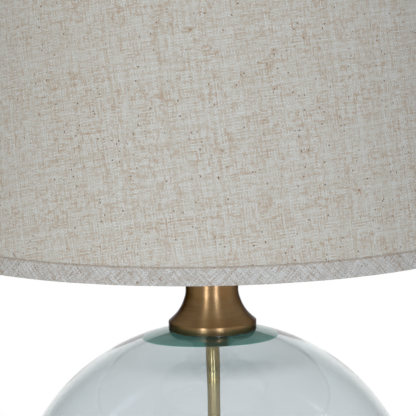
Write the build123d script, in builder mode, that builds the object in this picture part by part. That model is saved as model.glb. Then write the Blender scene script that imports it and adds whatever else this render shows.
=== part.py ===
from build123d import *
from math import asin, degrees, sqrt
import os

# Table lamp: a blown-glass globe on a turned metal foot, a flared metal neck cap, and
# a tapered drum shade of linen, held up by a harp.
#
# Millimetres, +Z up. The origin is on the lamp's axis, at the underside of the felt
# pad. The front faces -Y, the cord's bushing is at the back, and the harp stands in
# the XZ plane. Every round piece is a profile in the XZ plane, turned about Z, so its
# points are written as (radius, height).

os.makedirs("parts", exist_ok=True)

# ---------------------------------------------------------------------------------
# Driving dimensions
# ---------------------------------------------------------------------------------

# Felt pad and foot
FELT_THICKNESS = 1.5
FELT_INSET = 1.5              # the felt stays this far inside the foot's edge
FOOT_DIAMETER = 170.0
FOOT_HEIGHT = 26.0            # floor to the seat under the glass
FOOT_EDGE_HEIGHT = 15.0       # floor to the top of the upright edge
FOOT_EDGE_ROUND = 3.0
FOOT_STEP_WIDTH = 13.0        # upright edge to the bottom of the cove
FOOT_STEP_RISE = 2.5
FOOT_COVE_RADIUS = 7.0
FOOT_LIP_WIDTH = 4.0          # how far the seat reaches past the glass's cut face
FOOT_WALL = 1.2

# Weight inside the foot
WEIGHT_GAP = 1.3              # between the weight and the foot's inner wall
WEIGHT_SHOULDER_GAP = 0.8     # under the foot's inner shoulder
WEIGHT_BOSS_RADIUS = 30.0
NUT_POCKET_RADIUS = 16.0
NUT_POCKET_DEPTH = 8.0

# Cord bushing in the back of the foot
CORD_BORE = 6.0               # for a round lamp cord
BUSHING_WALL = 1.0
BUSHING_FLANGE_WIDTH = 0.8
BUSHING_FLANGE_THICKNESS = 1.2
BUSHING_LENGTH = 5.0          # from the flange inwards
BUSHING_HEIGHT = 7.2          # its axis above the floor
CORD_CHANNEL_WIDTH = 9.0

# Threaded pipe that ties the lamp together, and what is screwed on it
PIPE_DIAMETER = 10.3          # 1/8 IP lamp pipe
PIPE_BORE = 7.0
NUT_ACROSS_FLATS = 15.9
NUT_THICKNESS = 4.0
WASHER_DIAMETER = 25.0
WASHER_THICKNESS = 1.5
LOCK_WASHER_THICKNESS = 0.9
PIPE_TAIL = 0.6               # the pipe passes the bottom nut by this

# Glass globe: a spheroid, cut flat at the foot
GLASS_RADIUS = 161.4
GLASS_HALF_HEIGHT = 151.3
GLASS_WALL = 4.0
GLASS_FOOT_RADIUS = 60.0      # radius of the flat cut at the bottom
GLASS_FLOOR = 10.0            # thickness of the solid bottom
GLASS_CROWN_DEPTH = 9.7       # from the neck cap's rim down to the flat under the crown
GLASS_HOLE_RADIUS = 8.0
SEAT_GASKET_THICKNESS = 1.5
SEAT_GASKET_INSET = 2.0
SEAT_GASKET_WIDTH = 8.0
NECK_GASKET_THICKNESS = 0.6
NECK_GASKET_WIDTH = 1.4
BUSH_FLANGE_WIDTH = 3.0       # centring bushes in the glass's two holes
BUSH_FLANGE_THICKNESS = 1.5

# Neck cap: a spun bell with a rolled band at its rim
CAP_RADIUS = 35.0
CAP_BAND_HEIGHT = 7.2
CAP_BAND_ROUND = 0.9
CAP_CREASE_DEPTH = 2.8        # the flare starts this far inside the band
CAP_CREASE_RISE = 1.6
CAP_NECK_RADIUS = 21.0
CAP_FLARE_TOP = 31.0          # height above the rim where the neck is upright
CAP_HEIGHT = 74.0
CAP_TOP_ROUND = 4.0
CAP_WALL = 1.2
CREASE_SLOPE = 1.1            # how steeply the flare leaves the crease, rise over run

# Harp and its saddle
SADDLE_THICKNESS = 1.6
SADDLE_WIDTH = 14.0
HARP_FOOT_SPACING = 60.0
HARP_WIRE = 3.6
HARP_WIDTH = 118.0            # outside to outside
HARP_HEIGHT = 254.0           # saddle to the shade's seat, a ten-inch harp
HARP_STEM = 38.0              # upright length at each foot
HARP_BEND = 12.0
HARP_SHOULDER_BEND = 40.0
HARP_FLARE_HEIGHT = 72.0      # saddle to the lower shoulder
HARP_SHOULDER_DROP = 70.0     # shade's seat to the upper shoulder
HARP_CROWN_WIDTH = 34.0       # flat wire across the top
POST_HEIGHT = 14.0
POST_LAP = 9.0                # the post and the harp's foot overlap by this
LAP_GAP = 0.1
SLEEVE_HEIGHT = 18.0
SLEEVE_WALL = 1.1
EYE_RADIUS = 7.0              # flattened eye at the top of the harp
EYE_THICKNESS = 4.0

# Swivel on the harp's eye, and the finial on its stud
SWIVEL_SHANK_RADIUS = 2.5
SWIVEL_SEAT_RADIUS = 8.0
SWIVEL_SEAT_THICKNESS = 3.0
SWIVEL_HEAD_RADIUS = 4.2
SWIVEL_HEAD_THICKNESS = 1.5
STUD_RADIUS = 3.05            # 1/4-27 finial thread
STUD_LENGTH = 12.0
FINIAL_WASHER_RADIUS = 8.0
FINIAL_WASHER_THICKNESS = 1.0
FINIAL_BASE_RADIUS = 6.5
FINIAL_BASE_HEIGHT = 1.6
FINIAL_BASE_SLOPE = 0.6       # how steeply the stem leaves the base, rise over run
FINIAL_NECK_RADIUS = 3.9
FINIAL_BALL_RADIUS = 10.5
FINIAL_STEM = 8.0             # washer to the bottom of the ball
FINIAL_BORE_SPARE = 1.0

# Socket
SOCKET_BOSS_RADIUS = 8.0
SOCKET_BOSS_HEIGHT = 6.0
SOCKET_CAP_RADIUS = 17.5
SOCKET_CAP_DOME = 16.0        # top of the nut to the dome's widest place
SOCKET_CAP_LIP = 7.0
SOCKET_CAP_WALL = 0.75
SHELL_RADIUS = 16.6
SHELL_WALL = 0.6
SHELL_HEIGHT = 45.0
SHELL_BEAD = 0.9
LINER_WALL = 0.5
SWITCH_BODY_HEIGHT = 20.0
SWITCH_BODY_FLAT = 12.0       # axis to the flats that the terminals sit on
SCREW_SHELL_RADIUS = 13.9
SCREW_SHELL_WALL = 0.35
CONTACT_RADIUS = 4.0
CONTACT_THICKNESS = 1.2
TERMINAL_HEAD_RADIUS = 3.2
TERMINAL_HEAD_THICKNESS = 1.8
SET_SCREW_RADIUS = 1.5
SET_SCREW_PROUD = 1.5

# Turn-knob switch
SHAFT_RADIUS = 2.4
SHAFT_LENGTH = 24.0
SWITCH_HEIGHT = 12.5          # shaft's axis above the bottom of the switch body
SWITCH_BUSH_RADIUS = 4.0
SWITCH_BUSH_LENGTH = 4.0
KNOB_RADIUS = 6.5
KNOB_LENGTH = 14.0
KNOB_FLUTES = 16
KNOB_FLUTE_RADIUS = 0.7

# Bulb with a 26 mm screw base
BULB_LENGTH = 108.0
BULB_RADIUS = 30.0
BULB_WALL = 0.8
BULB_CAP_RADIUS = 12.4
BULB_CAP_HEIGHT = 20.0
BULB_CAP_WALL = 0.4
BULB_GLASS_LAP = 5.0          # the glass's foot reaches into the cap by this
BULB_THREAD_DEPTH = 0.55
BULB_THREAD_PITCH = 3.63
BULB_THREADS = 4
BULB_INSULATOR_HEIGHT = 4.5
BULB_TIP_RADIUS = 3.5
BULB_TIP_HEIGHT = 1.5

# Shade: an 18 in and 15 in drum, 11 in on the slant
SHADE_BOTTOM_DIAMETER = 457.2
SHADE_TOP_DIAMETER = 381.0
SHADE_SLANT = 279.4
SHADE_RISE = 75.9             # neck cap's rim to the shade's lower edge
FABRIC_THICKNESS = 0.6
LINER_THICKNESS = 0.5
TRIM_THICKNESS = 0.6
TRIM_HEIGHT = 13.4            # outside, up the slant
TRIM_TURN_IN = 7.0            # inside
RING_WIRE = 2.6
SPIDER_WIRE = 3.2
SPIDER_ARMS = 3
SPIDER_BEND = 9.0
SPIDER_HUB_RADIUS = 14.0
SPIDER_HUB_THICKNESS = 2.0

# Clearances
THREAD_GAP = 0.1              # a thread or a bore over what goes through it
RUNNING_GAP = 0.1             # radial, shaft in its hole
SLIDE_GAP = 0.25              # a ring that lifts off over a stud
GLUE_GAP = 0.05               # between layers glued together
BODY_GAP = 0.4                # between curved faces of pieces that part from each other

# ---------------------------------------------------------------------------------
# Places worked out from them
# ---------------------------------------------------------------------------------

foot_radius = FOOT_DIAMETER / 2
pipe_radius = PIPE_DIAMETER / 2
pipe_hole_radius = pipe_radius + THREAD_GAP


def globe_height(radius):
    """Height of the glass's outer face above the globe's centre, at a radius."""
    return GLASS_HALF_HEIGHT * sqrt(1 - (radius / GLASS_RADIUS) ** 2)


glass_seat_z = FOOT_HEIGHT + SEAT_GASKET_THICKNESS
globe_center_z = glass_seat_z + globe_height(GLASS_FOOT_RADIUS)
cap_rim_z = globe_center_z + globe_height(CAP_RADIUS) + NECK_GASKET_THICKNESS
cap_top_z = cap_rim_z + CAP_HEIGHT
saddle_top_z = cap_top_z + SADDLE_THICKNESS
socket_z = saddle_top_z + NUT_THICKNESS
shade_seat_z = saddle_top_z + HARP_HEIGHT

shade_bottom_radius = SHADE_BOTTOM_DIAMETER / 2
shade_top_radius = SHADE_TOP_DIAMETER / 2
shade_height = sqrt(SHADE_SLANT**2 - (shade_bottom_radius - shade_top_radius) ** 2)
shade_bottom_z = cap_rim_z + SHADE_RISE
shade_top_z = shade_bottom_z + shade_height
shade_taper = (shade_bottom_radius - shade_top_radius) / shade_height


def shade_radius(z, depth=0.0):
    """Radius of the shade's outer face at a height, or of a layer so deep in it."""
    return shade_bottom_radius - shade_taper * (z - shade_bottom_z) - depth


# ---------------------------------------------------------------------------------
# Foot: felt pad, spun shell, weight and cord bushing
# ---------------------------------------------------------------------------------

with BuildPart() as felt_pad:
    with BuildSketch():
        Circle(foot_radius - FELT_INSET)
    extrude(amount=FELT_THICKNESS)

felt_pad.part.label = "felt_pad"
export_step(felt_pad.part, "parts/felt_pad.step")

bushing_barrel_radius = CORD_BORE / 2 + BUSHING_WALL
foot_lip_radius = GLASS_FOOT_RADIUS + FOOT_LIP_WIDTH
cove_radius = foot_radius - FOOT_STEP_WIDTH

with BuildPart() as base_foot:
    with BuildSketch(Plane.XZ):
        with BuildLine():
            outline = FilletPolyline(
                (0, FELT_THICKNESS),
                (foot_radius, FELT_THICKNESS),
                (foot_radius, FOOT_EDGE_HEIGHT),
                (cove_radius, FOOT_EDGE_HEIGHT + FOOT_STEP_RISE),
                (foot_lip_radius, FOOT_HEIGHT),
                (0, FOOT_HEIGHT),
                radius=[0, FOOT_EDGE_ROUND, FOOT_COVE_RADIUS, FOOT_EDGE_ROUND / 2],
            )
            Line(outline @ 1, outline @ 0)
        make_face()
    revolve(axis=Axis.Z)
    offset(amount=-FOOT_WALL, openings=base_foot.faces().sort_by(Axis.Z)[0])
    with BuildSketch():
        Circle(pipe_hole_radius)
    extrude(amount=FOOT_HEIGHT, mode=Mode.SUBTRACT)
    with BuildSketch(Plane.XZ):
        with Locations((0, BUSHING_HEIGHT)):
            Circle(bushing_barrel_radius + THREAD_GAP)
    extrude(amount=-foot_radius, mode=Mode.SUBTRACT)

base_foot.part.label = "base_foot"
export_step(base_foot.part, "parts/base_foot.step")

weight_radius = foot_radius - FOOT_WALL - WEIGHT_GAP
weight_disc_z = FOOT_EDGE_HEIGHT - FOOT_WALL - WEIGHT_SHOULDER_GAP
weight_top_z = FOOT_HEIGHT - FOOT_WALL
nut_pocket_z = FELT_THICKNESS + NUT_POCKET_DEPTH
channel_top_z = BUSHING_HEIGHT + CORD_CHANNEL_WIDTH / 2

with BuildPart() as base_weight:
    with BuildSketch(Plane.XZ):
        with BuildLine():
            Polyline(
                (pipe_hole_radius, nut_pocket_z),
                (NUT_POCKET_RADIUS, nut_pocket_z),
                (NUT_POCKET_RADIUS, FELT_THICKNESS),
                (weight_radius, FELT_THICKNESS),
                (weight_radius, weight_disc_z),
                (WEIGHT_BOSS_RADIUS, weight_disc_z),
                (WEIGHT_BOSS_RADIUS, weight_top_z),
                (pipe_hole_radius, weight_top_z),
                close=True,
            )
        make_face()
    revolve(axis=Axis.Z)
    with BuildSketch():
        with Locations((0, NUT_POCKET_RADIUS - FELT_INSET)):
            Rectangle(CORD_CHANNEL_WIDTH, foot_radius, align=(Align.CENTER, Align.MIN))
    extrude(amount=channel_top_z, mode=Mode.SUBTRACT)

base_weight.part.label = "base_weight"
export_step(base_weight.part, "parts/base_weight.step")

with BuildPart() as cord_bushing:
    with BuildSketch(Plane.XZ.offset(-foot_radius)):
        with Locations((0, BUSHING_HEIGHT)):
            Circle(bushing_barrel_radius + BUSHING_FLANGE_WIDTH)
    extrude(amount=-BUSHING_FLANGE_THICKNESS)
    fillet(cord_bushing.edges().sort_by(Axis.Y)[-1], BUSHING_FLANGE_WIDTH / 2)
    with BuildSketch(Plane.XZ.offset(-foot_radius)):
        with Locations((0, BUSHING_HEIGHT)):
            Circle(bushing_barrel_radius)
    extrude(amount=BUSHING_LENGTH)
    with BuildSketch(Plane.XZ.offset(BUSHING_LENGTH - foot_radius)):
        with Locations((0, BUSHING_HEIGHT)):
            Circle(CORD_BORE / 2)
    extrude(amount=-BUSHING_LENGTH - BUSHING_FLANGE_THICKNESS, mode=Mode.SUBTRACT)

cord_bushing.part.label = "cord_bushing"
export_step(cord_bushing.part, "parts/cord_bushing.step")

# ---------------------------------------------------------------------------------
# Pipe and the nuts that clamp the stack
# ---------------------------------------------------------------------------------

lock_washer_z = nut_pocket_z - WASHER_THICKNESS - LOCK_WASHER_THICKNESS
bottom_nut_z = lock_washer_z - NUT_THICKNESS
pipe_bottom_z = bottom_nut_z - PIPE_TAIL
pipe_top_z = socket_z + SOCKET_BOSS_HEIGHT

with BuildPart() as lamp_pipe:
    with BuildSketch(Plane.XY.offset(pipe_bottom_z)):
        Circle(pipe_radius)
        Circle(PIPE_BORE / 2, mode=Mode.SUBTRACT)
    extrude(amount=pipe_top_z - pipe_bottom_z)

lamp_pipe.part.label = "lamp_pipe"
export_step(lamp_pipe.part, "parts/lamp_pipe.step")

with BuildPart() as bottom_washer:
    with BuildSketch(Plane.XY.offset(nut_pocket_z)):
        Circle(WASHER_DIAMETER / 2)
        Circle(pipe_hole_radius, mode=Mode.SUBTRACT)
    extrude(amount=-WASHER_THICKNESS)

bottom_washer.part.label = "bottom_washer"
export_step(bottom_washer.part, "parts/bottom_washer.step")

with BuildPart() as lock_washer:
    with BuildSketch(Plane.XY.offset(lock_washer_z)):
        Circle(NUT_ACROSS_FLATS / 2)
        Circle(pipe_hole_radius, mode=Mode.SUBTRACT)
        with Locations((NUT_ACROSS_FLATS / 2, 0)):
            Rectangle(NUT_ACROSS_FLATS, LOCK_WASHER_THICKNESS, mode=Mode.SUBTRACT)
    extrude(amount=LOCK_WASHER_THICKNESS)

lock_washer.part.label = "lock_washer"
export_step(lock_washer.part, "parts/lock_washer.step")


def hex_nut(bottom_z):
    """A hexagon nut on the pipe, with its underside at a height."""
    with BuildPart() as nut:
        with BuildSketch(Plane.XY.offset(bottom_z)):
            RegularPolygon(NUT_ACROSS_FLATS / 2, 6, major_radius=False)
            Circle(pipe_hole_radius, mode=Mode.SUBTRACT)
        extrude(amount=NUT_THICKNESS)
    return nut.part


bottom_nut = hex_nut(bottom_nut_z)
bottom_nut.label = "bottom_nut"
export_step(bottom_nut, "parts/bottom_nut.step")

saddle_nut = hex_nut(saddle_top_z)
saddle_nut.label = "saddle_nut"
export_step(saddle_nut, "parts/saddle_nut.step")

# ---------------------------------------------------------------------------------
# Glass globe, its gaskets and its centring bushes
# ---------------------------------------------------------------------------------

crown_z = cap_rim_z - GLASS_CROWN_DEPTH
glass_floor_z = glass_seat_z + GLASS_FLOOR
glass_top_z = globe_center_z + globe_height(GLASS_HOLE_RADIUS)
bore_radius = GLASS_RADIUS - GLASS_WALL
bore_half_height = GLASS_HALF_HEIGHT - GLASS_WALL


def globe_arc(radius, half_height, low_z, high_z):
    """The arc of a half ellipse about the globe's centre, between two heights."""
    low = degrees(asin((low_z - globe_center_z) / half_height))
    high = degrees(asin((high_z - globe_center_z) / half_height))
    return EllipticalCenterArc(
        (0, globe_center_z), radius, half_height, start_angle=low, arc_size=high - low
    )


with BuildPart() as glass_body:
    with BuildSketch(Plane.XZ):
        with BuildLine():
            outside = globe_arc(GLASS_RADIUS, GLASS_HALF_HEIGHT, glass_seat_z, glass_top_z)
            inside = globe_arc(bore_radius, bore_half_height, glass_floor_z, crown_z)
            Polyline(
                outside @ 1,
                (GLASS_HOLE_RADIUS, crown_z),
                inside @ 1,
            )
            Polyline(
                inside @ 0,
                (GLASS_HOLE_RADIUS, glass_floor_z),
                (GLASS_HOLE_RADIUS, glass_seat_z),
                outside @ 0,
            )
        make_face()
    revolve(axis=Axis.Z)

glass_body.part.label = "glass_body"
export_step(glass_body.part, "parts/glass_body.step")

seat_gasket_radius = GLASS_FOOT_RADIUS - SEAT_GASKET_INSET

with BuildPart() as seat_gasket:
    with BuildSketch(Plane.XY.offset(FOOT_HEIGHT)):
        Circle(seat_gasket_radius)
        Circle(seat_gasket_radius - SEAT_GASKET_WIDTH, mode=Mode.SUBTRACT)
    extrude(amount=SEAT_GASKET_THICKNESS)

seat_gasket.part.label = "seat_gasket"
export_step(seat_gasket.part, "parts/seat_gasket.step")

# The neck gasket is flat on top, and follows the glass underneath.
gasket_bore = CAP_RADIUS - NECK_GASKET_WIDTH

with BuildPart() as neck_gasket:
    with BuildSketch(Plane.XZ):
        with BuildLine():
            underside = globe_arc(
                GLASS_RADIUS,
                GLASS_HALF_HEIGHT,
                globe_center_z + globe_height(CAP_RADIUS),
                globe_center_z + globe_height(gasket_bore),
            )
            Polyline(
                underside @ 1,
                (gasket_bore, cap_rim_z),
                (CAP_RADIUS, cap_rim_z),
                underside @ 0,
            )
        make_face()
    revolve(axis=Axis.Z)

neck_gasket.part.label = "neck_gasket"
export_step(neck_gasket.part, "parts/neck_gasket.step")


def centring_bush(flange_z, flange_side, barrel_length):
    """A nylon bush in a hole of the glass, its flange on the face that is named."""
    with BuildPart() as bush:
        with BuildSketch(Plane.XY.offset(flange_z)):
            Circle(GLASS_HOLE_RADIUS + BUSH_FLANGE_WIDTH)
            Circle(pipe_hole_radius, mode=Mode.SUBTRACT)
        extrude(amount=flange_side * BUSH_FLANGE_THICKNESS)
        with BuildSketch(Plane.XY.offset(flange_z)):
            Circle(GLASS_HOLE_RADIUS - THREAD_GAP)
            Circle(pipe_hole_radius, mode=Mode.SUBTRACT)
        extrude(amount=-flange_side * barrel_length)
    return bush.part


lower_bush = centring_bush(glass_floor_z, 1, GLASS_FLOOR)
lower_bush.label = "lower_bush"
export_step(lower_bush, "parts/lower_bush.step")

upper_bush = centring_bush(glass_top_z, 1, glass_top_z - crown_z)
upper_bush.label = "upper_bush"
export_step(upper_bush, "parts/upper_bush.step")

# ---------------------------------------------------------------------------------
# Neck cap: band, crease, flare and upright neck
# ---------------------------------------------------------------------------------

flare_start = (CAP_RADIUS - CAP_CREASE_DEPTH, CAP_BAND_HEIGHT + CAP_CREASE_RISE)
flare_run = flare_start[0] - CAP_NECK_RADIUS
flare_rise = CAP_FLARE_TOP - flare_start[1]
# Shares of the flare's run and rise that give the bell its slow upper curve
flare_low = (0.60, 0.22)
flare_high = (0.23, 0.55)


def flare_point(share, inset=0.0):
    """A point of the flare, from the shares of its run and its rise."""
    radius = CAP_NECK_RADIUS + share[0] * flare_run - inset
    return (radius, cap_rim_z + flare_start[1] + share[1] * flare_rise)


def neck_cap_profile(inset, top_z, corner):
    """The cap's outside, from its rim up to its flat top, or its inside with an inset."""
    band_radius = CAP_RADIUS - inset
    band_top = cap_rim_z + CAP_BAND_HEIGHT
    rim = Polyline(
        (0, cap_rim_z),
        (band_radius, cap_rim_z),
        (band_radius, band_top - CAP_BAND_ROUND),
        (band_radius - CAP_BAND_ROUND, band_top),
        flare_point((1, 0), inset),
    )
    flare = Spline(
        rim @ 1,
        flare_point(flare_low, inset),
        flare_point(flare_high, inset),
        flare_point((0, 1), inset),
        tangents=[(-1, CREASE_SLOPE), (0, 1)],
    )
    neck = FilletPolyline(
        flare @ 1,
        (CAP_NECK_RADIUS - inset, top_z),
        (0, top_z),
        radius=corner,
    )
    Line(neck @ 1, rim @ 0)


with BuildPart() as neck_cap:
    with BuildSketch(Plane.XZ):
        with BuildLine():
            neck_cap_profile(0, cap_top_z, CAP_TOP_ROUND)
        make_face()
    revolve(axis=Axis.Z)
    with BuildSketch(Plane.XZ):
        with BuildLine():
            neck_cap_profile(CAP_WALL, cap_top_z - CAP_WALL, CAP_TOP_ROUND - CAP_WALL)
        make_face()
    revolve(axis=Axis.Z, mode=Mode.SUBTRACT)
    with BuildSketch(Plane.XY.offset(cap_rim_z)):
        Circle(pipe_hole_radius)
    extrude(amount=CAP_HEIGHT, mode=Mode.SUBTRACT)

neck_cap.part.label = "neck_cap"
export_step(neck_cap.part, "parts/neck_cap.step")

# ---------------------------------------------------------------------------------
# Saddle, harp, sleeves and swivel
# ---------------------------------------------------------------------------------

wire_radius = HARP_WIRE / 2
post_x = HARP_FOOT_SPACING / 2
lap_z = saddle_top_z + POST_HEIGHT - POST_LAP
post_top_z = saddle_top_z + POST_HEIGHT

with BuildPart() as harp_saddle:
    with BuildSketch(Plane.XY.offset(cap_top_z)):
        SlotCenterToCenter(HARP_FOOT_SPACING, SADDLE_WIDTH)
        Circle(pipe_hole_radius, mode=Mode.SUBTRACT)
    extrude(amount=SADDLE_THICKNESS)
    with BuildSketch(Plane.XY.offset(saddle_top_z)):
        with Locations((-post_x, 0), (post_x, 0)):
            Circle(wire_radius)
    extrude(amount=POST_HEIGHT)
    # The upper part of each post keeps only its inner half.
    for side in (-1, 1):
        with BuildSketch(Plane.XY.offset(lap_z)):
            with Locations((side * (post_x + HARP_WIRE), 0)):
                Rectangle(2 * HARP_WIRE, 2 * HARP_WIRE)
        extrude(amount=POST_LAP, mode=Mode.SUBTRACT)

harp_saddle.part.label = "harp_saddle"
export_step(harp_saddle.part, "parts/harp_saddle.step")

eye_z = shade_seat_z - SWIVEL_SEAT_THICKNESS - EYE_THICKNESS / 2
shoulder_x = HARP_WIDTH / 2 - wire_radius
crown_x = HARP_CROWN_WIDTH / 2
harp_right_side = [
    (post_x, lap_z),
    (post_x, saddle_top_z + HARP_STEM),
    (shoulder_x, saddle_top_z + HARP_FLARE_HEIGHT),
    (shoulder_x, shade_seat_z - HARP_SHOULDER_DROP),
    (crown_x, eye_z),
]
harp_left_side = [(-x, z) for x, z in reversed(harp_right_side)]
harp_bends = [HARP_BEND, HARP_SHOULDER_BEND, HARP_SHOULDER_BEND, HARP_BEND]

with BuildPart() as harp_wire:
    with BuildLine(Plane.XZ) as harp_path:
        FilletPolyline(
            *harp_right_side, *harp_left_side, radius=harp_bends + harp_bends[::-1]
        )
    with BuildSketch(Plane.XY.offset(lap_z)):
        with Locations((post_x, 0)):
            Circle(wire_radius)
    sweep(path=harp_path.line)
    with BuildSketch(Plane.XY.offset(eye_z - EYE_THICKNESS / 2)):
        Circle(EYE_RADIUS)
    extrude(amount=EYE_THICKNESS)
    with BuildSketch(Plane.XY.offset(eye_z - EYE_THICKNESS / 2)):
        Circle(SWIVEL_SHANK_RADIUS + RUNNING_GAP)
    extrude(amount=EYE_THICKNESS, mode=Mode.SUBTRACT)
    # Each foot keeps only its outer half, beside the saddle's post.
    for side in (-1, 1):
        with BuildSketch(Plane.XY.offset(lap_z)):
            with Locations((side * (post_x - HARP_WIRE + LAP_GAP), 0)):
                Rectangle(2 * HARP_WIRE, 2 * HARP_WIRE)
        extrude(amount=POST_LAP + BODY_GAP, mode=Mode.SUBTRACT)

harp_wire.part.label = "harp_wire"
export_step(harp_wire.part, "parts/harp_wire.step")

sleeve_bore = wire_radius + RUNNING_GAP


def harp_sleeve(side):
    """The brass sleeve that locks one foot of the harp to its post."""
    with BuildPart() as sleeve:
        with BuildSketch(Plane.XY.offset(saddle_top_z)):
            with Locations((side * post_x, 0)):
                Circle(sleeve_bore + SLEEVE_WALL)
                Circle(sleeve_bore, mode=Mode.SUBTRACT)
        extrude(amount=SLEEVE_HEIGHT)
        chamfer(sleeve.edges().group_by(Axis.Z)[-1].sort_by(SortBy.LENGTH)[-1], SLEEVE_WALL / 3)
    return sleeve.part


sleeve_left = harp_sleeve(-1)
sleeve_left.label = "sleeve_left"
export_step(sleeve_left, "parts/sleeve_left.step")

sleeve_right = harp_sleeve(1)
sleeve_right.label = "sleeve_right"
export_step(sleeve_right, "parts/sleeve_right.step")

swivel_bottom_z = eye_z - EYE_THICKNESS / 2 - BODY_GAP - SWIVEL_HEAD_THICKNESS
swivel_shank_z = swivel_bottom_z + SWIVEL_HEAD_THICKNESS
stud_top_z = shade_seat_z + STUD_LENGTH

with BuildPart() as harp_swivel:
    with BuildSketch(Plane.XZ):
        with BuildLine():
            Polyline(
                (0, swivel_bottom_z),
                (SWIVEL_HEAD_RADIUS, swivel_bottom_z),
                (SWIVEL_HEAD_RADIUS, swivel_shank_z),
                (SWIVEL_SHANK_RADIUS, swivel_shank_z),
                (SWIVEL_SHANK_RADIUS, shade_seat_z - SWIVEL_SEAT_THICKNESS),
                (SWIVEL_SEAT_RADIUS, shade_seat_z - SWIVEL_SEAT_THICKNESS),
                (SWIVEL_SEAT_RADIUS, shade_seat_z),
                (STUD_RADIUS, shade_seat_z),
                (STUD_RADIUS, stud_top_z),
                (0, stud_top_z),
                close=True,
            )
        make_face()
    revolve(axis=Axis.Z)
    chamfer(harp_swivel.edges().sort_by(Axis.Z)[-1], STUD_RADIUS / 5)

harp_swivel.part.label = "harp_swivel"
export_step(harp_swivel.part, "parts/harp_swivel.step")

# ---------------------------------------------------------------------------------
# Socket: cap, set screw, shell, liner, switch body and contacts
# ---------------------------------------------------------------------------------

cap_widest_z = socket_z + SOCKET_CAP_DOME
cap_lip_z = cap_widest_z + SOCKET_CAP_LIP
cap_inner_radius = SOCKET_CAP_RADIUS - SOCKET_CAP_WALL

with BuildPart() as socket_cap:
    with BuildSketch(Plane.XZ):
        with BuildLine():
            dome = TangentArc(
                (SOCKET_CAP_RADIUS, cap_widest_z),
                (SOCKET_BOSS_RADIUS, socket_z + SOCKET_BOSS_HEIGHT - SOCKET_CAP_WALL),
                tangent=(0, -1),
            )
            dome_inside = TangentArc(
                (cap_inner_radius, cap_widest_z),
                (SOCKET_BOSS_RADIUS, socket_z + SOCKET_BOSS_HEIGHT),
                tangent=(0, -1),
            )
            Polyline(
                dome @ 1,
                (SOCKET_BOSS_RADIUS, socket_z),
                (pipe_hole_radius, socket_z),
                (pipe_hole_radius, socket_z + SOCKET_BOSS_HEIGHT),
                dome_inside @ 1,
            )
            Polyline(
                dome @ 0,
                (SOCKET_CAP_RADIUS, cap_lip_z),
                (cap_inner_radius, cap_lip_z),
                dome_inside @ 0,
            )
        make_face()
    revolve(axis=Axis.Z)
    with BuildSketch(Plane.YZ):
        with Locations((0, socket_z + SOCKET_BOSS_HEIGHT / 2)):
            Circle(SET_SCREW_RADIUS + GLUE_GAP)
    extrude(amount=SOCKET_BOSS_RADIUS, mode=Mode.SUBTRACT)

socket_cap.part.label = "socket_cap"
export_step(socket_cap.part, "parts/socket_cap.step")

with BuildPart() as socket_set_screw:
    with BuildSketch(Plane.YZ.offset(pipe_hole_radius)):
        with Locations((0, socket_z + SOCKET_BOSS_HEIGHT / 2)):
            Circle(SET_SCREW_RADIUS)
    extrude(amount=SOCKET_BOSS_RADIUS + SET_SCREW_PROUD - pipe_hole_radius)
    with BuildSketch(Plane.YZ.offset(SOCKET_BOSS_RADIUS + SET_SCREW_PROUD)):
        with Locations((0, socket_z + SOCKET_BOSS_HEIGHT / 2)):
            Rectangle(2 * SET_SCREW_RADIUS, SET_SCREW_RADIUS / 3)
    extrude(amount=-SET_SCREW_PROUD / 2, mode=Mode.SUBTRACT)

socket_set_screw.part.label = "socket_set_screw"
export_step(socket_set_screw.part, "parts/socket_set_screw.step")

shell_z = cap_widest_z
shell_top_z = shell_z + SHELL_HEIGHT
shell_bore = SHELL_RADIUS - SHELL_WALL
switch_body_top_z = shell_z + SWITCH_BODY_HEIGHT
shaft_z = shell_z + SWITCH_HEIGHT


def bead_outline(radius):
    """The shell's wall near its mouth, with a rolled bead, from the bottom up."""
    return Polyline(
        (radius, shell_z),
        (radius, shell_top_z - 6 * SHELL_BEAD),
        (radius + SHELL_BEAD, shell_top_z - 4 * SHELL_BEAD),
        (radius + SHELL_BEAD, shell_top_z - 2 * SHELL_BEAD),
        (radius, shell_top_z),
    )


with BuildPart() as socket_shell:
    with BuildSketch(Plane.XZ):
        with BuildLine():
            wall_outside = bead_outline(SHELL_RADIUS)
            wall_inside = bead_outline(shell_bore)
            Line(wall_outside @ 0, wall_inside @ 0)
            Line(wall_outside @ 1, wall_inside @ 1)
        make_face()
    revolve(axis=Axis.Z)
    with BuildSketch(Plane.XZ):
        with Locations((0, shaft_z)):
            Circle(SWITCH_BUSH_RADIUS + THREAD_GAP)
    extrude(amount=SOCKET_CAP_RADIUS, mode=Mode.SUBTRACT)

socket_shell.part.label = "socket_shell"
export_step(socket_shell.part, "parts/socket_shell.step")

liner_radius = shell_bore - GLUE_GAP
liner_bore = liner_radius - LINER_WALL
liner_top_z = shell_top_z - 6 * SHELL_BEAD

with BuildPart() as socket_liner:
    with BuildSketch(Plane.XY.offset(shell_z)):
        Circle(liner_radius)
        Circle(liner_bore, mode=Mode.SUBTRACT)
    extrude(amount=liner_top_z - shell_z)
    with BuildSketch(Plane.XZ):
        with Locations((0, shaft_z)):
            Circle(SWITCH_BUSH_RADIUS + THREAD_GAP)
    extrude(amount=SOCKET_CAP_RADIUS, mode=Mode.SUBTRACT)

socket_liner.part.label = "socket_liner"
export_step(socket_liner.part, "parts/socket_liner.step")

switch_body_radius = liner_bore - GLUE_GAP
switch_bush_reach = SOCKET_CAP_RADIUS + SWITCH_BUSH_LENGTH

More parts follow.
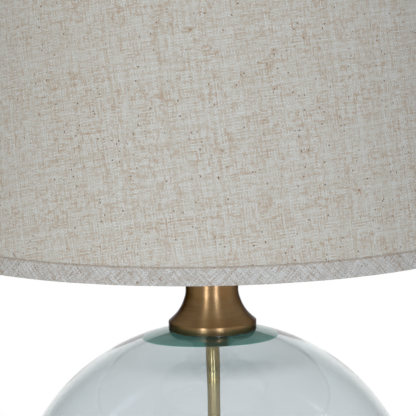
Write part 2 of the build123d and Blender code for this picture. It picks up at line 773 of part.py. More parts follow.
with BuildPart() as switch_body:
    with BuildSketch(Plane.XY.offset(shell_z)):
        Circle(switch_body_radius)
    extrude(amount=SWITCH_BODY_HEIGHT)
    # Flats for the two terminals, on the lower half
    for side in (-1, 1):
        with BuildSketch(Plane.XY.offset(shell_z)):
            with Locations((side * (SWITCH_BODY_FLAT + switch_body_radius / 2), 0)):
                Rectangle(switch_body_radius, 2 * switch_body_radius)
        extrude(amount=SWITCH_BODY_HEIGHT / 2, mode=Mode.SUBTRACT)
    with BuildSketch(Plane.XZ):
        with Locations((0, shaft_z)):
            Circle(SWITCH_BUSH_RADIUS)
    extrude(amount=switch_bush_reach)
    with BuildSketch(Plane.XZ.offset(SWITCH_BUSH_RADIUS)):
        with Locations((0, shaft_z)):
            Circle(SHAFT_RADIUS + RUNNING_GAP)
    extrude(amount=switch_bush_reach, mode=Mode.SUBTRACT)

switch_body.part.label = "switch_body"
export_step(switch_body.part, "parts/switch_body.step")

terminal_z = shell_z + SWITCH_BODY_HEIGHT / 4

with BuildPart() as terminal_screws:
    for side in (-1, 1):
        with BuildSketch(Plane.YZ.offset(side * SWITCH_BODY_FLAT)):
            with Locations((0, terminal_z)):
                Circle(TERMINAL_HEAD_RADIUS)
        extrude(amount=side * TERMINAL_HEAD_THICKNESS)
        with BuildSketch(Plane.YZ.offset(side * (SWITCH_BODY_FLAT + TERMINAL_HEAD_THICKNESS))):
            with Locations((0, terminal_z)):
                Rectangle(2 * TERMINAL_HEAD_RADIUS, TERMINAL_HEAD_RADIUS / 4)
        extrude(amount=-side * TERMINAL_HEAD_THICKNESS / 2, mode=Mode.SUBTRACT)

terminal_screws.part.label = "terminal_screws"
export_step(terminal_screws.part, "parts/terminal_screws.step")

contact_z = switch_body_top_z + CONTACT_THICKNESS

with BuildPart() as centre_contact:
    with BuildSketch(Plane.XY.offset(switch_body_top_z)):
        Circle(CONTACT_RADIUS)
    extrude(amount=CONTACT_THICKNESS)

centre_contact.part.label = "centre_contact"
export_step(centre_contact.part, "parts/centre_contact.step")

with BuildPart() as screw_shell:
    with BuildSketch(Plane.XY.offset(switch_body_top_z)):
        Circle(SCREW_SHELL_RADIUS)
        Circle(SCREW_SHELL_RADIUS - SCREW_SHELL_WALL, mode=Mode.SUBTRACT)
    extrude(amount=liner_top_z - switch_body_top_z)

screw_shell.part.label = "screw_shell"
export_step(screw_shell.part, "parts/screw_shell.step")

# ---------------------------------------------------------------------------------
# Turn-knob switch
# ---------------------------------------------------------------------------------

shaft_start = SWITCH_BUSH_RADIUS + RUNNING_GAP
knob_start = switch_bush_reach + BODY_GAP

with BuildPart() as switch_shaft:
    with BuildSketch(Plane.XZ.offset(shaft_start)):
        with Locations((0, shaft_z)):
            Circle(SHAFT_RADIUS)
    extrude(amount=SHAFT_LENGTH)

switch_shaft.part.label = "switch_shaft"
export_step(switch_shaft.part, "parts/switch_shaft.step")

with BuildPart() as switch_knob:
    with BuildSketch(Plane.XZ.offset(knob_start)):
        with Locations((0, shaft_z)):
            Circle(KNOB_RADIUS)
            with PolarLocations(KNOB_RADIUS, KNOB_FLUTES):
                Circle(KNOB_FLUTE_RADIUS, mode=Mode.SUBTRACT)
    extrude(amount=KNOB_LENGTH)
    with BuildSketch(Plane.XZ.offset(knob_start)):
        with Locations((0, shaft_z)):
            Circle(SHAFT_RADIUS + GLUE_GAP)
    extrude(amount=shaft_start + SHAFT_LENGTH - knob_start, mode=Mode.SUBTRACT)

switch_knob.part.label = "switch_knob"
export_step(switch_knob.part, "parts/switch_knob.step")

# ---------------------------------------------------------------------------------
# Bulb: tip, insulator, threaded cap and frosted envelope
# ---------------------------------------------------------------------------------

insulator_z = contact_z + BULB_TIP_HEIGHT
bulb_cap_z = insulator_z + BULB_INSULATOR_HEIGHT
bulb_cap_top_z = bulb_cap_z + BULB_CAP_HEIGHT
bulb_center_z = contact_z + BULB_LENGTH - BULB_RADIUS
bulb_cap_bore = BULB_CAP_RADIUS - BULB_CAP_WALL
bulb_neck_radius = bulb_cap_bore - GLUE_GAP

with BuildPart() as bulb_tip:
    with BuildSketch(Plane.XY.offset(contact_z)):
        Circle(BULB_TIP_RADIUS)
    extrude(amount=BULB_TIP_HEIGHT)
    fillet(bulb_tip.edges().sort_by(Axis.Z)[0], BULB_TIP_HEIGHT / 2)

bulb_tip.part.label = "bulb_tip"
export_step(bulb_tip.part, "parts/bulb_tip.step")

with BuildPart() as bulb_insulator:
    with BuildSketch(Plane.XY.offset(insulator_z)):
        Circle(BULB_TIP_RADIUS)
    with BuildSketch(Plane.XY.offset(bulb_cap_z)):
        Circle(bulb_cap_bore)
    loft()

bulb_insulator.part.label = "bulb_insulator"
export_step(bulb_insulator.part, "parts/bulb_insulator.step")

with BuildPart() as bulb_cap:
    with BuildSketch(Plane.XY.offset(bulb_cap_z)):
        Circle(BULB_CAP_RADIUS)
        Circle(bulb_cap_bore, mode=Mode.SUBTRACT)
    extrude(amount=BULB_CAP_HEIGHT)
    # The thread's crests, as rings one pitch apart
    for turn in range(BULB_THREADS):
        crest_z = bulb_cap_z + (turn + 1) * BULB_THREAD_PITCH
        with BuildSketch(Plane.XZ):
            with BuildLine():
                crest = ThreePointArc(
                    (BULB_CAP_RADIUS, crest_z - BULB_THREAD_PITCH / 3),
                    (BULB_CAP_RADIUS + BULB_THREAD_DEPTH, crest_z),
                    (BULB_CAP_RADIUS, crest_z + BULB_THREAD_PITCH / 3),
                )
                Polyline(
                    crest @ 1,
                    (bulb_cap_bore, crest_z + BULB_THREAD_PITCH / 3),
                    (bulb_cap_bore, crest_z - BULB_THREAD_PITCH / 3),
                    crest @ 0,
                )
            make_face()
        revolve(axis=Axis.Z)

bulb_cap.part.label = "bulb_cap"
export_step(bulb_cap.part, "parts/bulb_cap.step")


def envelope_profile(inset, bottom_z):
    """Outside of the bulb's glass from its neck to its crown, or its inside."""
    neck_radius = bulb_neck_radius - inset
    neck = Line((neck_radius, bottom_z), (neck_radius, bulb_cap_top_z))
    Spline(
        neck @ 1,
        (BULB_RADIUS - inset, bulb_center_z),
        tangents=[(0, 1), (0, 1)],
    )
    dome = CenterArc((0, bulb_center_z), BULB_RADIUS - inset, 0, 90)
    Polyline(dome @ 1, (0, bottom_z), neck @ 0)


with BuildPart() as bulb_envelope:
    with BuildSketch(Plane.XZ):
        with BuildLine():
            envelope_profile(0, bulb_cap_top_z - BULB_GLASS_LAP)
        make_face()
    revolve(axis=Axis.Z)
    with BuildSketch(Plane.XZ):
        with BuildLine():
            # The inside runs on through the open foot of the glass.
            envelope_profile(BULB_WALL, bulb_cap_top_z - 2 * BULB_GLASS_LAP)
        make_face()
    revolve(axis=Axis.Z, mode=Mode.SUBTRACT)

bulb_envelope.part.label = "bulb_envelope"
export_step(bulb_envelope.part, "parts/bulb_envelope.step")

# ---------------------------------------------------------------------------------
# Shade: wire rings, spider, liner, linen and the trims over its two edges
# ---------------------------------------------------------------------------------

layer_gap = TRIM_THICKNESS + GLUE_GAP            # from a trim's outside to the layer's edge
liner_depth = FABRIC_THICKNESS + GLUE_GAP
ring_depth = liner_depth + LINER_THICKNESS + GLUE_GAP
ring_center_depth = ring_depth + RING_WIRE / 2
fold_depth = ring_depth + RING_WIRE + GLUE_GAP   # where the trim passes inside the ring
bottom_ring_z = shade_bottom_z + layer_gap + RING_WIRE / 2
top_ring_z = shade_top_z - layer_gap - RING_WIRE / 2
top_ring_radius = shade_radius(top_ring_z, ring_center_depth)


def shade_layer(outer_depth, thickness):
    """One cone of the shade's wall, between the folds of the two trims."""
    low = shade_bottom_z + layer_gap
    high = shade_top_z - layer_gap
    with BuildPart() as layer:
        with BuildSketch(Plane.XZ):
            with BuildLine():
                Polyline(
                    (shade_radius(low, outer_depth), low),
                    (shade_radius(high, outer_depth), high),
                    (shade_radius(high, outer_depth + thickness), high),
                    (shade_radius(low, outer_depth + thickness), low),
                    close=True,
                )
            make_face()
        revolve(axis=Axis.Z)
    return layer.part


shade_fabric = shade_layer(0, FABRIC_THICKNESS)
shade_fabric.label = "shade_fabric"
export_step(shade_fabric, "parts/shade_fabric.step")

shade_liner = shade_layer(liner_depth, LINER_THICKNESS)
shade_liner.label = "shade_liner"
export_step(shade_liner, "parts/shade_liner.step")


def wire_ring(z):
    """The wire ring inside one edge of the shade."""
    with BuildPart() as ring:
        with BuildSketch(Plane.XZ):
            with Locations((shade_radius(z, ring_center_depth), z)):
                Circle(RING_WIRE / 2)
        revolve(axis=Axis.Z)
    return ring.part


shade_bottom_ring = wire_ring(bottom_ring_z)
shade_bottom_ring.label = "shade_bottom_ring"
export_step(shade_bottom_ring, "parts/shade_bottom_ring.step")

shade_top_ring = wire_ring(top_ring_z)
shade_top_ring.label = "shade_top_ring"
export_step(shade_top_ring, "parts/shade_top_ring.step")

hub_top_z = shade_seat_z + SPIDER_HUB_THICKNESS
arm_z = shade_seat_z + SPIDER_HUB_THICKNESS / 2
arm_top_z = top_ring_z - RING_WIRE / 2
arm_start = SPIDER_HUB_RADIUS - SPIDER_WIRE
arm_end_radius = top_ring_radius - (SPIDER_WIRE - RING_WIRE) / 2

with BuildPart() as shade_spider:
    with BuildSketch(Plane.XY.offset(shade_seat_z)):
        Circle(SPIDER_HUB_RADIUS)
    extrude(amount=SPIDER_HUB_THICKNESS)
    for arm in range(SPIDER_ARMS):
        # The first arm points to the back, clear of the harp's plane.
        arm_plane = Plane.XZ.rotated((0, 0, 90 + arm * 360 / SPIDER_ARMS))
        with BuildLine(arm_plane) as arm_path:
            FilletPolyline(
                (arm_start, arm_z),
                (arm_end_radius, arm_z),
                (arm_end_radius, arm_top_z),
                radius=SPIDER_BEND,
            )
        with BuildSketch(Plane(arm_path.line @ 0, z_dir=arm_path.line % 0)):
            Circle(SPIDER_WIRE / 2)
        sweep(path=arm_path.line)
    with BuildSketch(Plane.XY.offset(shade_seat_z - SPIDER_WIRE)):
        Circle(STUD_RADIUS + SLIDE_GAP)
    extrude(amount=3 * SPIDER_WIRE, mode=Mode.SUBTRACT)
    # The hub's underside is flat, for the swivel's seat.
    with BuildSketch(Plane.XY.offset(shade_seat_z)):
        Circle(SPIDER_HUB_RADIUS)
    extrude(amount=-SPIDER_WIRE, mode=Mode.SUBTRACT)

shade_spider.part.label = "shade_spider"
export_step(shade_spider.part, "parts/shade_spider.step")


def trim_profile(edge_z, inward):
    """A folded tape: up the outside, round the edge and the ring, and on to the liner."""
    outside = -GLUE_GAP
    fold_z = edge_z + inward * (layer_gap + RING_WIRE + GLUE_GAP)
    points = [
        (outside - TRIM_THICKNESS, edge_z),
        (outside - TRIM_THICKNESS, edge_z + inward * TRIM_HEIGHT),
        (outside, edge_z + inward * TRIM_HEIGHT),
        (outside, edge_z + inward * TRIM_THICKNESS),
        (fold_depth, edge_z + inward * TRIM_THICKNESS),
        (fold_depth, fold_z),
        (ring_depth, fold_z),
        (ring_depth, edge_z + inward * TRIM_TURN_IN),
        (ring_depth + TRIM_THICKNESS, edge_z + inward * TRIM_TURN_IN),
        (ring_depth + TRIM_THICKNESS, fold_z + inward * TRIM_THICKNESS),
        (fold_depth + TRIM_THICKNESS, fold_z + inward * TRIM_THICKNESS),
        (fold_depth + TRIM_THICKNESS, edge_z),
    ]
    return Polyline(*[(shade_radius(z, depth), z) for depth, z in points], close=True)


with BuildPart() as bottom_trim:
    with BuildSketch(Plane.XZ):
        with BuildLine():
            trim_profile(shade_bottom_z, 1)
        make_face()
    revolve(axis=Axis.Z)

bottom_trim.part.label = "bottom_trim"
export_step(bottom_trim.part, "parts/bottom_trim.step")

with BuildPart() as top_trim:
    with BuildSketch(Plane.XZ):
        with BuildLine():
            trim_profile(shade_top_z, -1)
        make_face()
    revolve(axis=Axis.Z)
    # Notches where the spider's arms pass the tape to reach the ring
    with BuildSketch(Plane.XY.offset(top_ring_z)):
        with PolarLocations(arm_end_radius, SPIDER_ARMS, start_angle=90):
            Rectangle(2 * SPIDER_WIRE, SPIDER_WIRE + 2 * GLUE_GAP)
    extrude(amount=-TRIM_TURN_IN, mode=Mode.SUBTRACT)

top_trim.part.label = "top_trim"
export_step(top_trim.part, "parts/top_trim.step")

# ---------------------------------------------------------------------------------
# Finial and its washer
# ---------------------------------------------------------------------------------

finial_z = hub_top_z + FINIAL_WASHER_THICKNESS
ball_center_z = finial_z + FINIAL_STEM + sqrt(FINIAL_BALL_RADIUS**2 - FINIAL_NECK_RADIUS**2)

with BuildPart() as finial_washer:
    with BuildSketch(Plane.XY.offset(hub_top_z)):
        Circle(FINIAL_WASHER_RADIUS)
        Circle(STUD_RADIUS + SLIDE_GAP, mode=Mode.SUBTRACT)
    extrude(amount=FINIAL_WASHER_THICKNESS)

finial_washer.part.label = "finial_washer"
export_step(finial_washer.part, "parts/finial_washer.step")

with BuildPart() as finial:
    with BuildSketch(Plane.XZ):
        with BuildLine():
            base = Polyline(
                (0, finial_z),
                (FINIAL_BASE_RADIUS, finial_z),
                (FINIAL_BASE_RADIUS, finial_z + FINIAL_BASE_HEIGHT),
            )
            stem = Spline(
                base @ 1,
                (FINIAL_NECK_RADIUS, finial_z + FINIAL_STEM),
                tangents=[(-1, FINIAL_BASE_SLOPE), (0, 1)],
            )
            ball_angle = degrees(asin((ball_center_z - finial_z - FINIAL_STEM) / FINIAL_BALL_RADIUS))
            ball = CenterArc(
                (0, ball_center_z), FINIAL_BALL_RADIUS, -ball_angle, 90 + ball_angle
            )
            Line(ball @ 1, base @ 0)
        make_face()
    revolve(axis=Axis.Z)
    with BuildSketch(Plane.XY.offset(finial_z)):
        Circle(STUD_RADIUS + THREAD_GAP)
    extrude(amount=stud_top_z - finial_z + FINIAL_BORE_SPARE, mode=Mode.SUBTRACT)

finial.part.label = "finial"
export_step(finial.part, "parts/finial.step")
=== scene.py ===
# %% [markdown]
# # A glass table lamp with a linen drum shade
#
# The lamp is a blown-glass globe on a spun metal foot. A brass pipe runs up through the
# glass, a flared brass neck cap sits on top of it, and a harp carries a tapered drum
# shade of natural linen. The construction comes ready made as a frame of solids. This
# script dresses it: it gives every piece its finish, and makes again the pieces whose
# surface needs more than the solid has, such as the glass, the cloth and the tape.
#
# Lengths are in metres. Sizes of the real thing are written in millimetres, times MM.

# %% Load the frame
import bpy
from math import asin, cos, hypot, pi, radians, sin, sqrt, tan, tau
from mathutils import Euler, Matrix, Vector
from mathutils.geometry import interpolate_bezier


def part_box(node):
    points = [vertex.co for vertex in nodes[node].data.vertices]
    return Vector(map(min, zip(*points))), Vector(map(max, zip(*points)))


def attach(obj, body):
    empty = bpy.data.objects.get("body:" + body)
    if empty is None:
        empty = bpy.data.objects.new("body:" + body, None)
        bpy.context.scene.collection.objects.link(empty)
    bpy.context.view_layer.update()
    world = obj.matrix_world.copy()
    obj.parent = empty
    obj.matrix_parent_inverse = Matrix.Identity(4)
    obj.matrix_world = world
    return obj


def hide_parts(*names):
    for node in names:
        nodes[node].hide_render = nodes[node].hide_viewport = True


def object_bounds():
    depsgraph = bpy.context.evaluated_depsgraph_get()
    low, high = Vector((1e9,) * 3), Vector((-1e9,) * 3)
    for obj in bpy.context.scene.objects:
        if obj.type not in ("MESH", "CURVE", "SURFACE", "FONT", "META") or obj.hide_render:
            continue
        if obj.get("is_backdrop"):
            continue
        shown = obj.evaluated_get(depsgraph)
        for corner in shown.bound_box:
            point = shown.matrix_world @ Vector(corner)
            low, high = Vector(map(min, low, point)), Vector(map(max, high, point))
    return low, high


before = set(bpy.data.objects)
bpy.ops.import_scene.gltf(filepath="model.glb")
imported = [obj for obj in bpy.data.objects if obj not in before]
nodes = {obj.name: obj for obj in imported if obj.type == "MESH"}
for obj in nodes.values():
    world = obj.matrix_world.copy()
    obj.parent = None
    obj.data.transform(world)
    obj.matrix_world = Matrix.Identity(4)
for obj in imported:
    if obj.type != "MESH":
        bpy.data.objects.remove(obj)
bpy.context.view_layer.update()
MM = 0.001
scene = bpy.context.scene

# %% [markdown]
# ## The camera
#
# The picture was taken from about two metres away with a long lens, looking down a
# little on a lamp that stands just below eye height. Where a camera stood can be found
# from round things in a picture: a circle seen from the side is an ellipse, and how
# flat it is gives the angle. The shade's lower edge and the neck cap's rim gave the
# numbers here. The camera was held a degree off level, and looked a little to the left.

# %% The camera
CAMERA_DISTANCE = 2.0         # metres from the lamp's axis
CAMERA_ABOVE_RIM = 0.402      # metres above the neck cap's rim
CAMERA_PITCH = 8.68           # degrees down
CAMERA_ROLL = -1.03
CAMERA_YAW = 0.056
SENSOR = 36.0
IMAGE_WIDTH = 416
FOCAL_PIXELS = 2556

rim_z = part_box("neck_cap")[0].z

camera = bpy.data.objects.new("Camera", bpy.data.cameras.new("Camera"))
camera.data.sensor_width = SENSOR
camera.data.lens = FOCAL_PIXELS * SENSOR / IMAGE_WIDTH
camera.location = (0, -CAMERA_DISTANCE, rim_z + CAMERA_ABOVE_RIM)
aim = Euler((radians(90 - CAMERA_PITCH), 0, radians(CAMERA_YAW))).to_matrix()
roll = Euler((0, 0, radians(CAMERA_ROLL))).to_matrix()
camera.rotation_euler = (aim @ roll).to_euler()
scene.collection.objects.link(camera)
scene.camera = camera
scene.view_settings.view_transform = "Standard"
print(f"lens {camera.data.lens:.1f} mm at {tuple(round(v, 3) for v in camera.location)}")

# %% [markdown]
# ## Helpers for node trees
#
# Materials, the world and geometry are all built from nodes. Adding one by hand takes a
# line for the node, one for each setting and one for each link, so one small helper
# does all of it and hands back the node's outputs. Its inputs go by name, or by number
# where a node has several of one name. On a Map Range node 1 and 2 are the range that
# comes in, and 3 and 4 the range that goes out. On a Mix node for colours 0 is the
# share, and 6 and 7 are the two colours. Colours are written as the hex values that a
# picture editor shows. Blender works in linear light, so a second helper converts them.


# %% Helpers for nodes and colours
def add(tree, kind, inputs=None, **settings):
    """Adds a node with its settings, fills its inputs with values or links, and
    returns its outputs."""
    made = tree.nodes.new(kind)
    for name, value in settings.items():
        setattr(made, name, value)
    for key, value in (inputs or {}).items():
        if isinstance(value, bpy.types.NodeSocket):
            tree.links.new(value, made.inputs[key])
        else:
            made.inputs[key].default_value = value
    return made.outputs


def colour(hex_value):
    """The linear RGBA of an sRGB hex colour such as #D9B98A."""
    parts = [int(hex_value[i:i + 2], 16) / 255 for i in (1, 3, 5)]
    linear = [v / 12.92 if v <= 0.04045 else ((v + 0.055) / 1.055) ** 2.4 for v in parts]
    return (*linear, 1.0)


def start_material(name):
    """A new material, its empty node tree, and the place in it on Object coordinates."""
    made = bpy.data.materials.new(name)
    made.use_nodes = True
    made.node_tree.nodes.clear()
    return made, made.node_tree, add(made.node_tree, "ShaderNodeTexCoord")["Object"]


def start_group(name, kind, inputs, outputs):
    """A node group of that kind, with an input or output of a kind for each name."""
    tree = bpy.data.node_groups.new(name, kind)
    for way, sockets in (("INPUT", inputs), ("OUTPUT", outputs)):
        for socket, holds in sockets.items():
            tree.interface.new_socket(socket, in_out=way, socket_type=f"NodeSocket{holds}")
    return tree


print("brass #BBA07B in linear light:", tuple(round(v, 3) for v in colour("#BBA07B")))

# %% [markdown]
# ## Light, floor and background
#
# A product picture like this one is lit softly from all round, with two tall narrow
# lamps either side of the camera. The soft light comes from the world, which is a plain
# grey. The tall lamps are what draws the two thin bright lines on the brass. The
# background is white: the world and the far floor show white to the camera, to
# reflections and through the glass, and give no more light than the grey for that. Near
# the lamp the floor is a plain pale surface, so it keeps the lamp's shadow.
#
# Metal shows what it mirrors, which in a studio is not white all round. It mirrors
# dim warm walls at the sides, and white only in the backdrop behind the lamp.

# %% What the world looks like, to light and to metal
STUDIO_GREY = 0.585           # what lights the cloth, on average all round
STUDIO_TILT = 0.20            # brighter behind the lamp, darker behind the camera
RIGHT_LIGHTER = 0.02          # a little more light from the right than from the left
RIGHT_BRIGHTER = 0.14         # more grey to mirror on the right than on the left
# Where a reflection looks, from behind the camera (0) to behind the lamp (1), and the
# colour that it meets there.
MIRRORED = ((0.0, (0.46, 0.36, 0.22)), (0.38, (0.44, 0.345, 0.21)),
            (0.62, (0.13, 0.10, 0.06)), (0.92, (0.13, 0.11, 0.09)),
            (0.985, (1.0, 1.0, 1.0)))

world = bpy.data.worlds.new("Studio")
world.use_nodes = True
world.node_tree.nodes.clear()
scene.world = world
tree = world.node_tree
towards = add(tree, "ShaderNodeSeparateXYZ", {0: add(tree, "ShaderNodeTexCoord")["Generated"]})
lighting = add(tree, "ShaderNodeMath", {0: towards["Y"], 1: STUDIO_TILT, 2: STUDIO_GREY},
               operation="MULTIPLY_ADD")[0]
lighting = add(tree, "ShaderNodeMath", {0: towards["X"], 1: RIGHT_LIGHTER, 2: lighting},
               operation="MULTIPLY_ADD")[0]
turned = add(tree, "ShaderNodeMapRange", {0: towards["Y"], 1: -1.0, 2: 1.0})[0]
mirrored = add(tree, "ShaderNodeValToRGB", {0: turned})[0]
ramp = mirrored.node.color_ramp
for spot, shade in MIRRORED:
    stop = ramp.elements[0] if spot == 0 else ramp.elements.new(spot)
    stop.position, stop.color = spot, (*shade, 1)
ramp.elements.remove(ramp.elements[-1])
more = add(tree, "ShaderNodeVectorMath", {0: (RIGHT_BRIGHTER,) * 3, "Scale": towards["X"]},
           operation="SCALE")[0]
mirrored = add(tree, "ShaderNodeVectorMath", {0: mirrored, 1: more}, operation="ADD")[0]
print(f"a world of {len(tree.nodes)} nodes so far, with {len(ramp.elements)} stops to mirror")

# %% White to the camera and through glass
WHITE = (1, 1, 1, 1)

rays = add(tree, "ShaderNodeLightPath")
plain = add(tree, "ShaderNodeMath",
            {0: rays["Is Camera Ray"], 1: rays["Is Transmission Ray"]}, operation="MAXIMUM")[0]
shade = add(tree, "ShaderNodeMix", {0: rays["Is Glossy Ray"], 6: lighting, 7: mirrored},
            data_type="RGBA")[2]
shade = add(tree, "ShaderNodeMix", {0: plain, 6: shade, 7: WHITE}, data_type="RGBA")[2]
sky = add(tree, "ShaderNodeBackground", {"Color": shade, "Strength": 1.0})[0]
add(tree, "ShaderNodeOutputWorld", {"Surface": sky})
print(f"world {world.name}: {len(tree.nodes)} nodes")

# %% The two tall lamps
STRIP_HEIGHT = 0.76
STRIP_DISTANCE = 1.3
STRIP_Z = 0.43
# Each lamp's side, its degrees from the front, width, watts and colour.
STRIPS = (("left", -24.0, 0.17, 4.7, (1.0, 1.0, 1.0)),
          ("right", 18.0, 0.18, 4.6, (0.95, 1.0, 1.1)))

for side, azimuth, width, power, light in STRIPS:
    lamp = bpy.data.lights.new(f"strip_{side}", "AREA")
    lamp.shape = "RECTANGLE"
    lamp.size, lamp.size_y = width, STRIP_HEIGHT
    lamp.energy = power
    lamp.color = light
    strip = bpy.data.objects.new(f"strip_{side}", lamp)
    turn = radians(azimuth)
    strip.location = (STRIP_DISTANCE * sin(turn), -STRIP_DISTANCE * cos(turn), STRIP_Z)
    target = Vector((0, 0, STRIP_Z))
    strip.rotation_euler = (strip.location - target).to_track_quat("Z", "Y").to_euler()
    scene.collection.objects.link(strip)
    print(f"{side} lamp: {power} W at {tuple(round(v, 2) for v in strip.location)}")

# %% The floor
FLOOR_RADIUS = 1.0
FLOOR_SIDES = 96
FLOOR_NEAR = 0.55             # the pale floor runs to here
FLOOR_FAR = 0.96              # and is as white as the background from here

floor_mesh = bpy.data.meshes.new("floor")
corners = [tau * i / FLOOR_SIDES for i in range(FLOOR_SIDES)]
floor_mesh.from_pydata([(FLOOR_RADIUS * cos(a), FLOOR_RADIUS * sin(a), 0) for a in corners],
                       [], [tuple(range(FLOOR_SIDES))])
floor = bpy.data.objects.new("floor", floor_mesh)
scene.collection.objects.link(floor)
floor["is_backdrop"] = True

paint, tree, place = start_material("pale studio floor")
away = add(tree, "ShaderNodeVectorMath", {0: place}, operation="LENGTH")["Value"]
far = add(tree, "ShaderNodeMapRange", {0: away, 1: FLOOR_NEAR, 2: FLOOR_FAR},
          interpolation_type="SMOOTHSTEP")[0]
rays = add(tree, "ShaderNodeLightPath")
seen = add(tree, "ShaderNodeMath", {0: rays["Is Camera Ray"], 1: rays["Is Glossy Ray"]},
           operation="MAXIMUM")[0]
seen = add(tree, "ShaderNodeMath", {0: seen, 1: rays["Is Transmission Ray"]},
           operation="MAXIMUM")[0]
white = add(tree, "ShaderNodeMath", {0: seen, 1: far}, operation="MULTIPLY")[0]
matt = add(tree, "ShaderNodeBsdfDiffuse", {"Color": colour("#E4E4E2")})[0]
glow = add(tree, "ShaderNodeEmission", {"Color": WHITE, "Strength": 1.0})[0]
mixed = add(tree, "ShaderNodeMixShader", {0: white, 1: matt, 2: glow})[0]
add(tree, "ShaderNodeOutputMaterial", {"Surface": mixed})
floor_mesh.materials.append(paint)
print(f"floor {2 * FLOOR_RADIUS} m across, in {paint.name}")

# %% [markdown]
# ## Antique brass
#
# The neck cap, foot, harp and finial are brass, toned brown in a bath, brushed while
# they turned on a lathe, and lacquered. The tone gives a brown metal colour that is a
# little uneven. The brushing leaves fine rings round the axis. Rings spread a highlight
# across themselves, so a lamp shows as a tall thin line up the piece, and that is what
# anisotropy does: it makes the metal rougher one way than the other. The lacquer lies on
# the rings as a coat, and adds a sharper glint along them.
#
# The rings are a noise that is stretched along the ring: it changes every third of a
# millimetre up the piece and outwards, and only every few centimetres round it. Real
# brush lines are ten times finer, too fine to show, so they are drawn coarser here.


# %% Rings left by brushing
def rings(tree, place, spacing, length):
    """Fine rings round the Z axis: a noise 'spacing' wide and 'length' long, in mm."""
    axes = add(tree, "ShaderNodeSeparateXYZ", {0: place})
    flat = add(tree, "ShaderNodeCombineXYZ", {0: axes["X"], 1: axes["Y"]})[0]
    radius = add(tree, "ShaderNodeVectorMath", {0: flat}, operation="LENGTH")["Value"]
    fine, coarse = 1 / (spacing * MM), 1 / (length * MM)
    scaled = [add(tree, "ShaderNodeMath", {0: way, 1: scale}, operation="MULTIPLY")[0]
              for way, scale in ((radius, fine), (axes["Z"], fine),
                                 (axes["X"], coarse), (axes["Y"], coarse))]
    spot = add(tree, "ShaderNodeCombineXYZ", dict(enumerate(scaled[:3])))[0]
    return add(tree, "ShaderNodeTexNoise",
               {"Vector": spot, "W": scaled[3], "Scale": 1.0, "Detail": 2.0, "Roughness": 0.6},
               noise_dimensions="4D")[0]


# %% Antique brass
RING_WIDTH = 0.35             # millimetres
RING_LENGTH = 30
CLOUD_SIZE = 18               # the bath's uneven tone
RING_SHARE = 0.55             # how much of the tone follows the rings, and
CLOUD_SHARE = 0.45            # how much the clouds


def brushed_brass(name, light, dark, roughness, coat):
    """Toned, brushed and lacquered brass, between a light and a dark tone."""
    made, tree, place = start_material(name)
    lines = rings(tree, place, RING_WIDTH, RING_LENGTH)
    clouds = add(tree, "ShaderNodeTexNoise",
                 {"Vector": place, "Scale": 1 / (CLOUD_SIZE * MM), "Detail": 4.0})[0]
    tone = add(tree, "ShaderNodeMath", {0: lines, 1: RING_SHARE}, operation="MULTIPLY")[0]
    tone = add(tree, "ShaderNodeMath", {0: clouds, 1: CLOUD_SHARE, 2: tone},
               operation="MULTIPLY_ADD")[0]
    tone = add(tree, "ShaderNodeMapRange", {0: tone, 1: 0.30, 2: 0.70})[0]
    metal = add(tree, "ShaderNodeMix", {0: tone, 6: colour(dark), 7: colour(light)},
                data_type="RGBA")[2]
    gloss = add(tree, "ShaderNodeMapRange",
                {0: lines, 1: 0.25, 2: 0.75, 3: roughness - 0.04, 4: roughness + 0.05})[0]
    relief = add(tree, "ShaderNodeBump",
                 {"Height": lines, "Strength": 0.12, "Distance": 0.05 * MM})[0]
    lacquer = add(tree, "ShaderNodeBump",
                  {"Height": lines, "Strength": 1.0, "Distance": 0.12 * MM})[0]
    tangent = add(tree, "ShaderNodeTangent", direction_type="RADIAL", axis="Z")[0]
    shader = add(tree, "ShaderNodeBsdfPrincipled", {
        "Base Color": metal, "Metallic": 1.0, "Roughness": gloss, "Normal": relief,
        "Anisotropic": 0.85, "Anisotropic Rotation": 0.25, "Tangent": tangent,
        "Specular Tint": colour("#3C2E22"), "Coat Weight": coat, "Coat Roughness": 0.15,
        "Coat Normal": lacquer})[0]
    add(tree, "ShaderNodeOutputMaterial", {"Surface": shader})
    return made


antique_brass = brushed_brass("antique brass, brushed", "#BBA07B", "#967249", 0.36, 0.35)
print(f"{antique_brass.name}: {len(antique_brass.node_tree.nodes)} nodes")

# %% [markdown]
# ## Drawn brass
#
# The pipe inside the glass was drawn through a die, which leaves straight, faint marks
# along it and a smoother skin than brushing does. So it mirrors the two tall lamps as
# two sharp bright lines. Its grain is a noise that is stretched along Z.

# %% Drawn brass
DRAWN_MARK = 0.8              # millimetres across
DRAWN_STRETCH = 0.02          # across, over along

pipe_brass, tree, place = start_material("drawn brass pipe")
drawn_out = add(tree, "ShaderNodeMapping", {"Vector": place, "Scale": (1, 1, DRAWN_STRETCH)})[0]
marks = add(tree, "ShaderNodeTexNoise",
            {"Vector": drawn_out, "Scale": 1 / (DRAWN_MARK * MM), "Detail": 3.0})[0]
metal = add(tree, "ShaderNodeMix", {0: marks, 6: colour("#8A7850"), 7: colour("#AB9A70")},
            data_type="RGBA")[2]
gloss = add(tree, "ShaderNodeMapRange", {0: marks, 1: 0.3, 2: 0.7, 3: 0.19, 4: 0.23})[0]
shader = add(tree, "ShaderNodeBsdfPrincipled", {
    "Base Color": metal, "Metallic": 1.0, "Roughness": gloss,
    "Specular Tint": colour("#5A4E38"), "Coat Weight": 1.0, "Coat Roughness": 0.12})[0]
add(tree, "ShaderNodeOutputMaterial", {"Surface": shader})
print(f"{pipe_brass.name}: marks {DRAWN_MARK} by {DRAWN_MARK / DRAWN_STRETCH:.0f} mm")

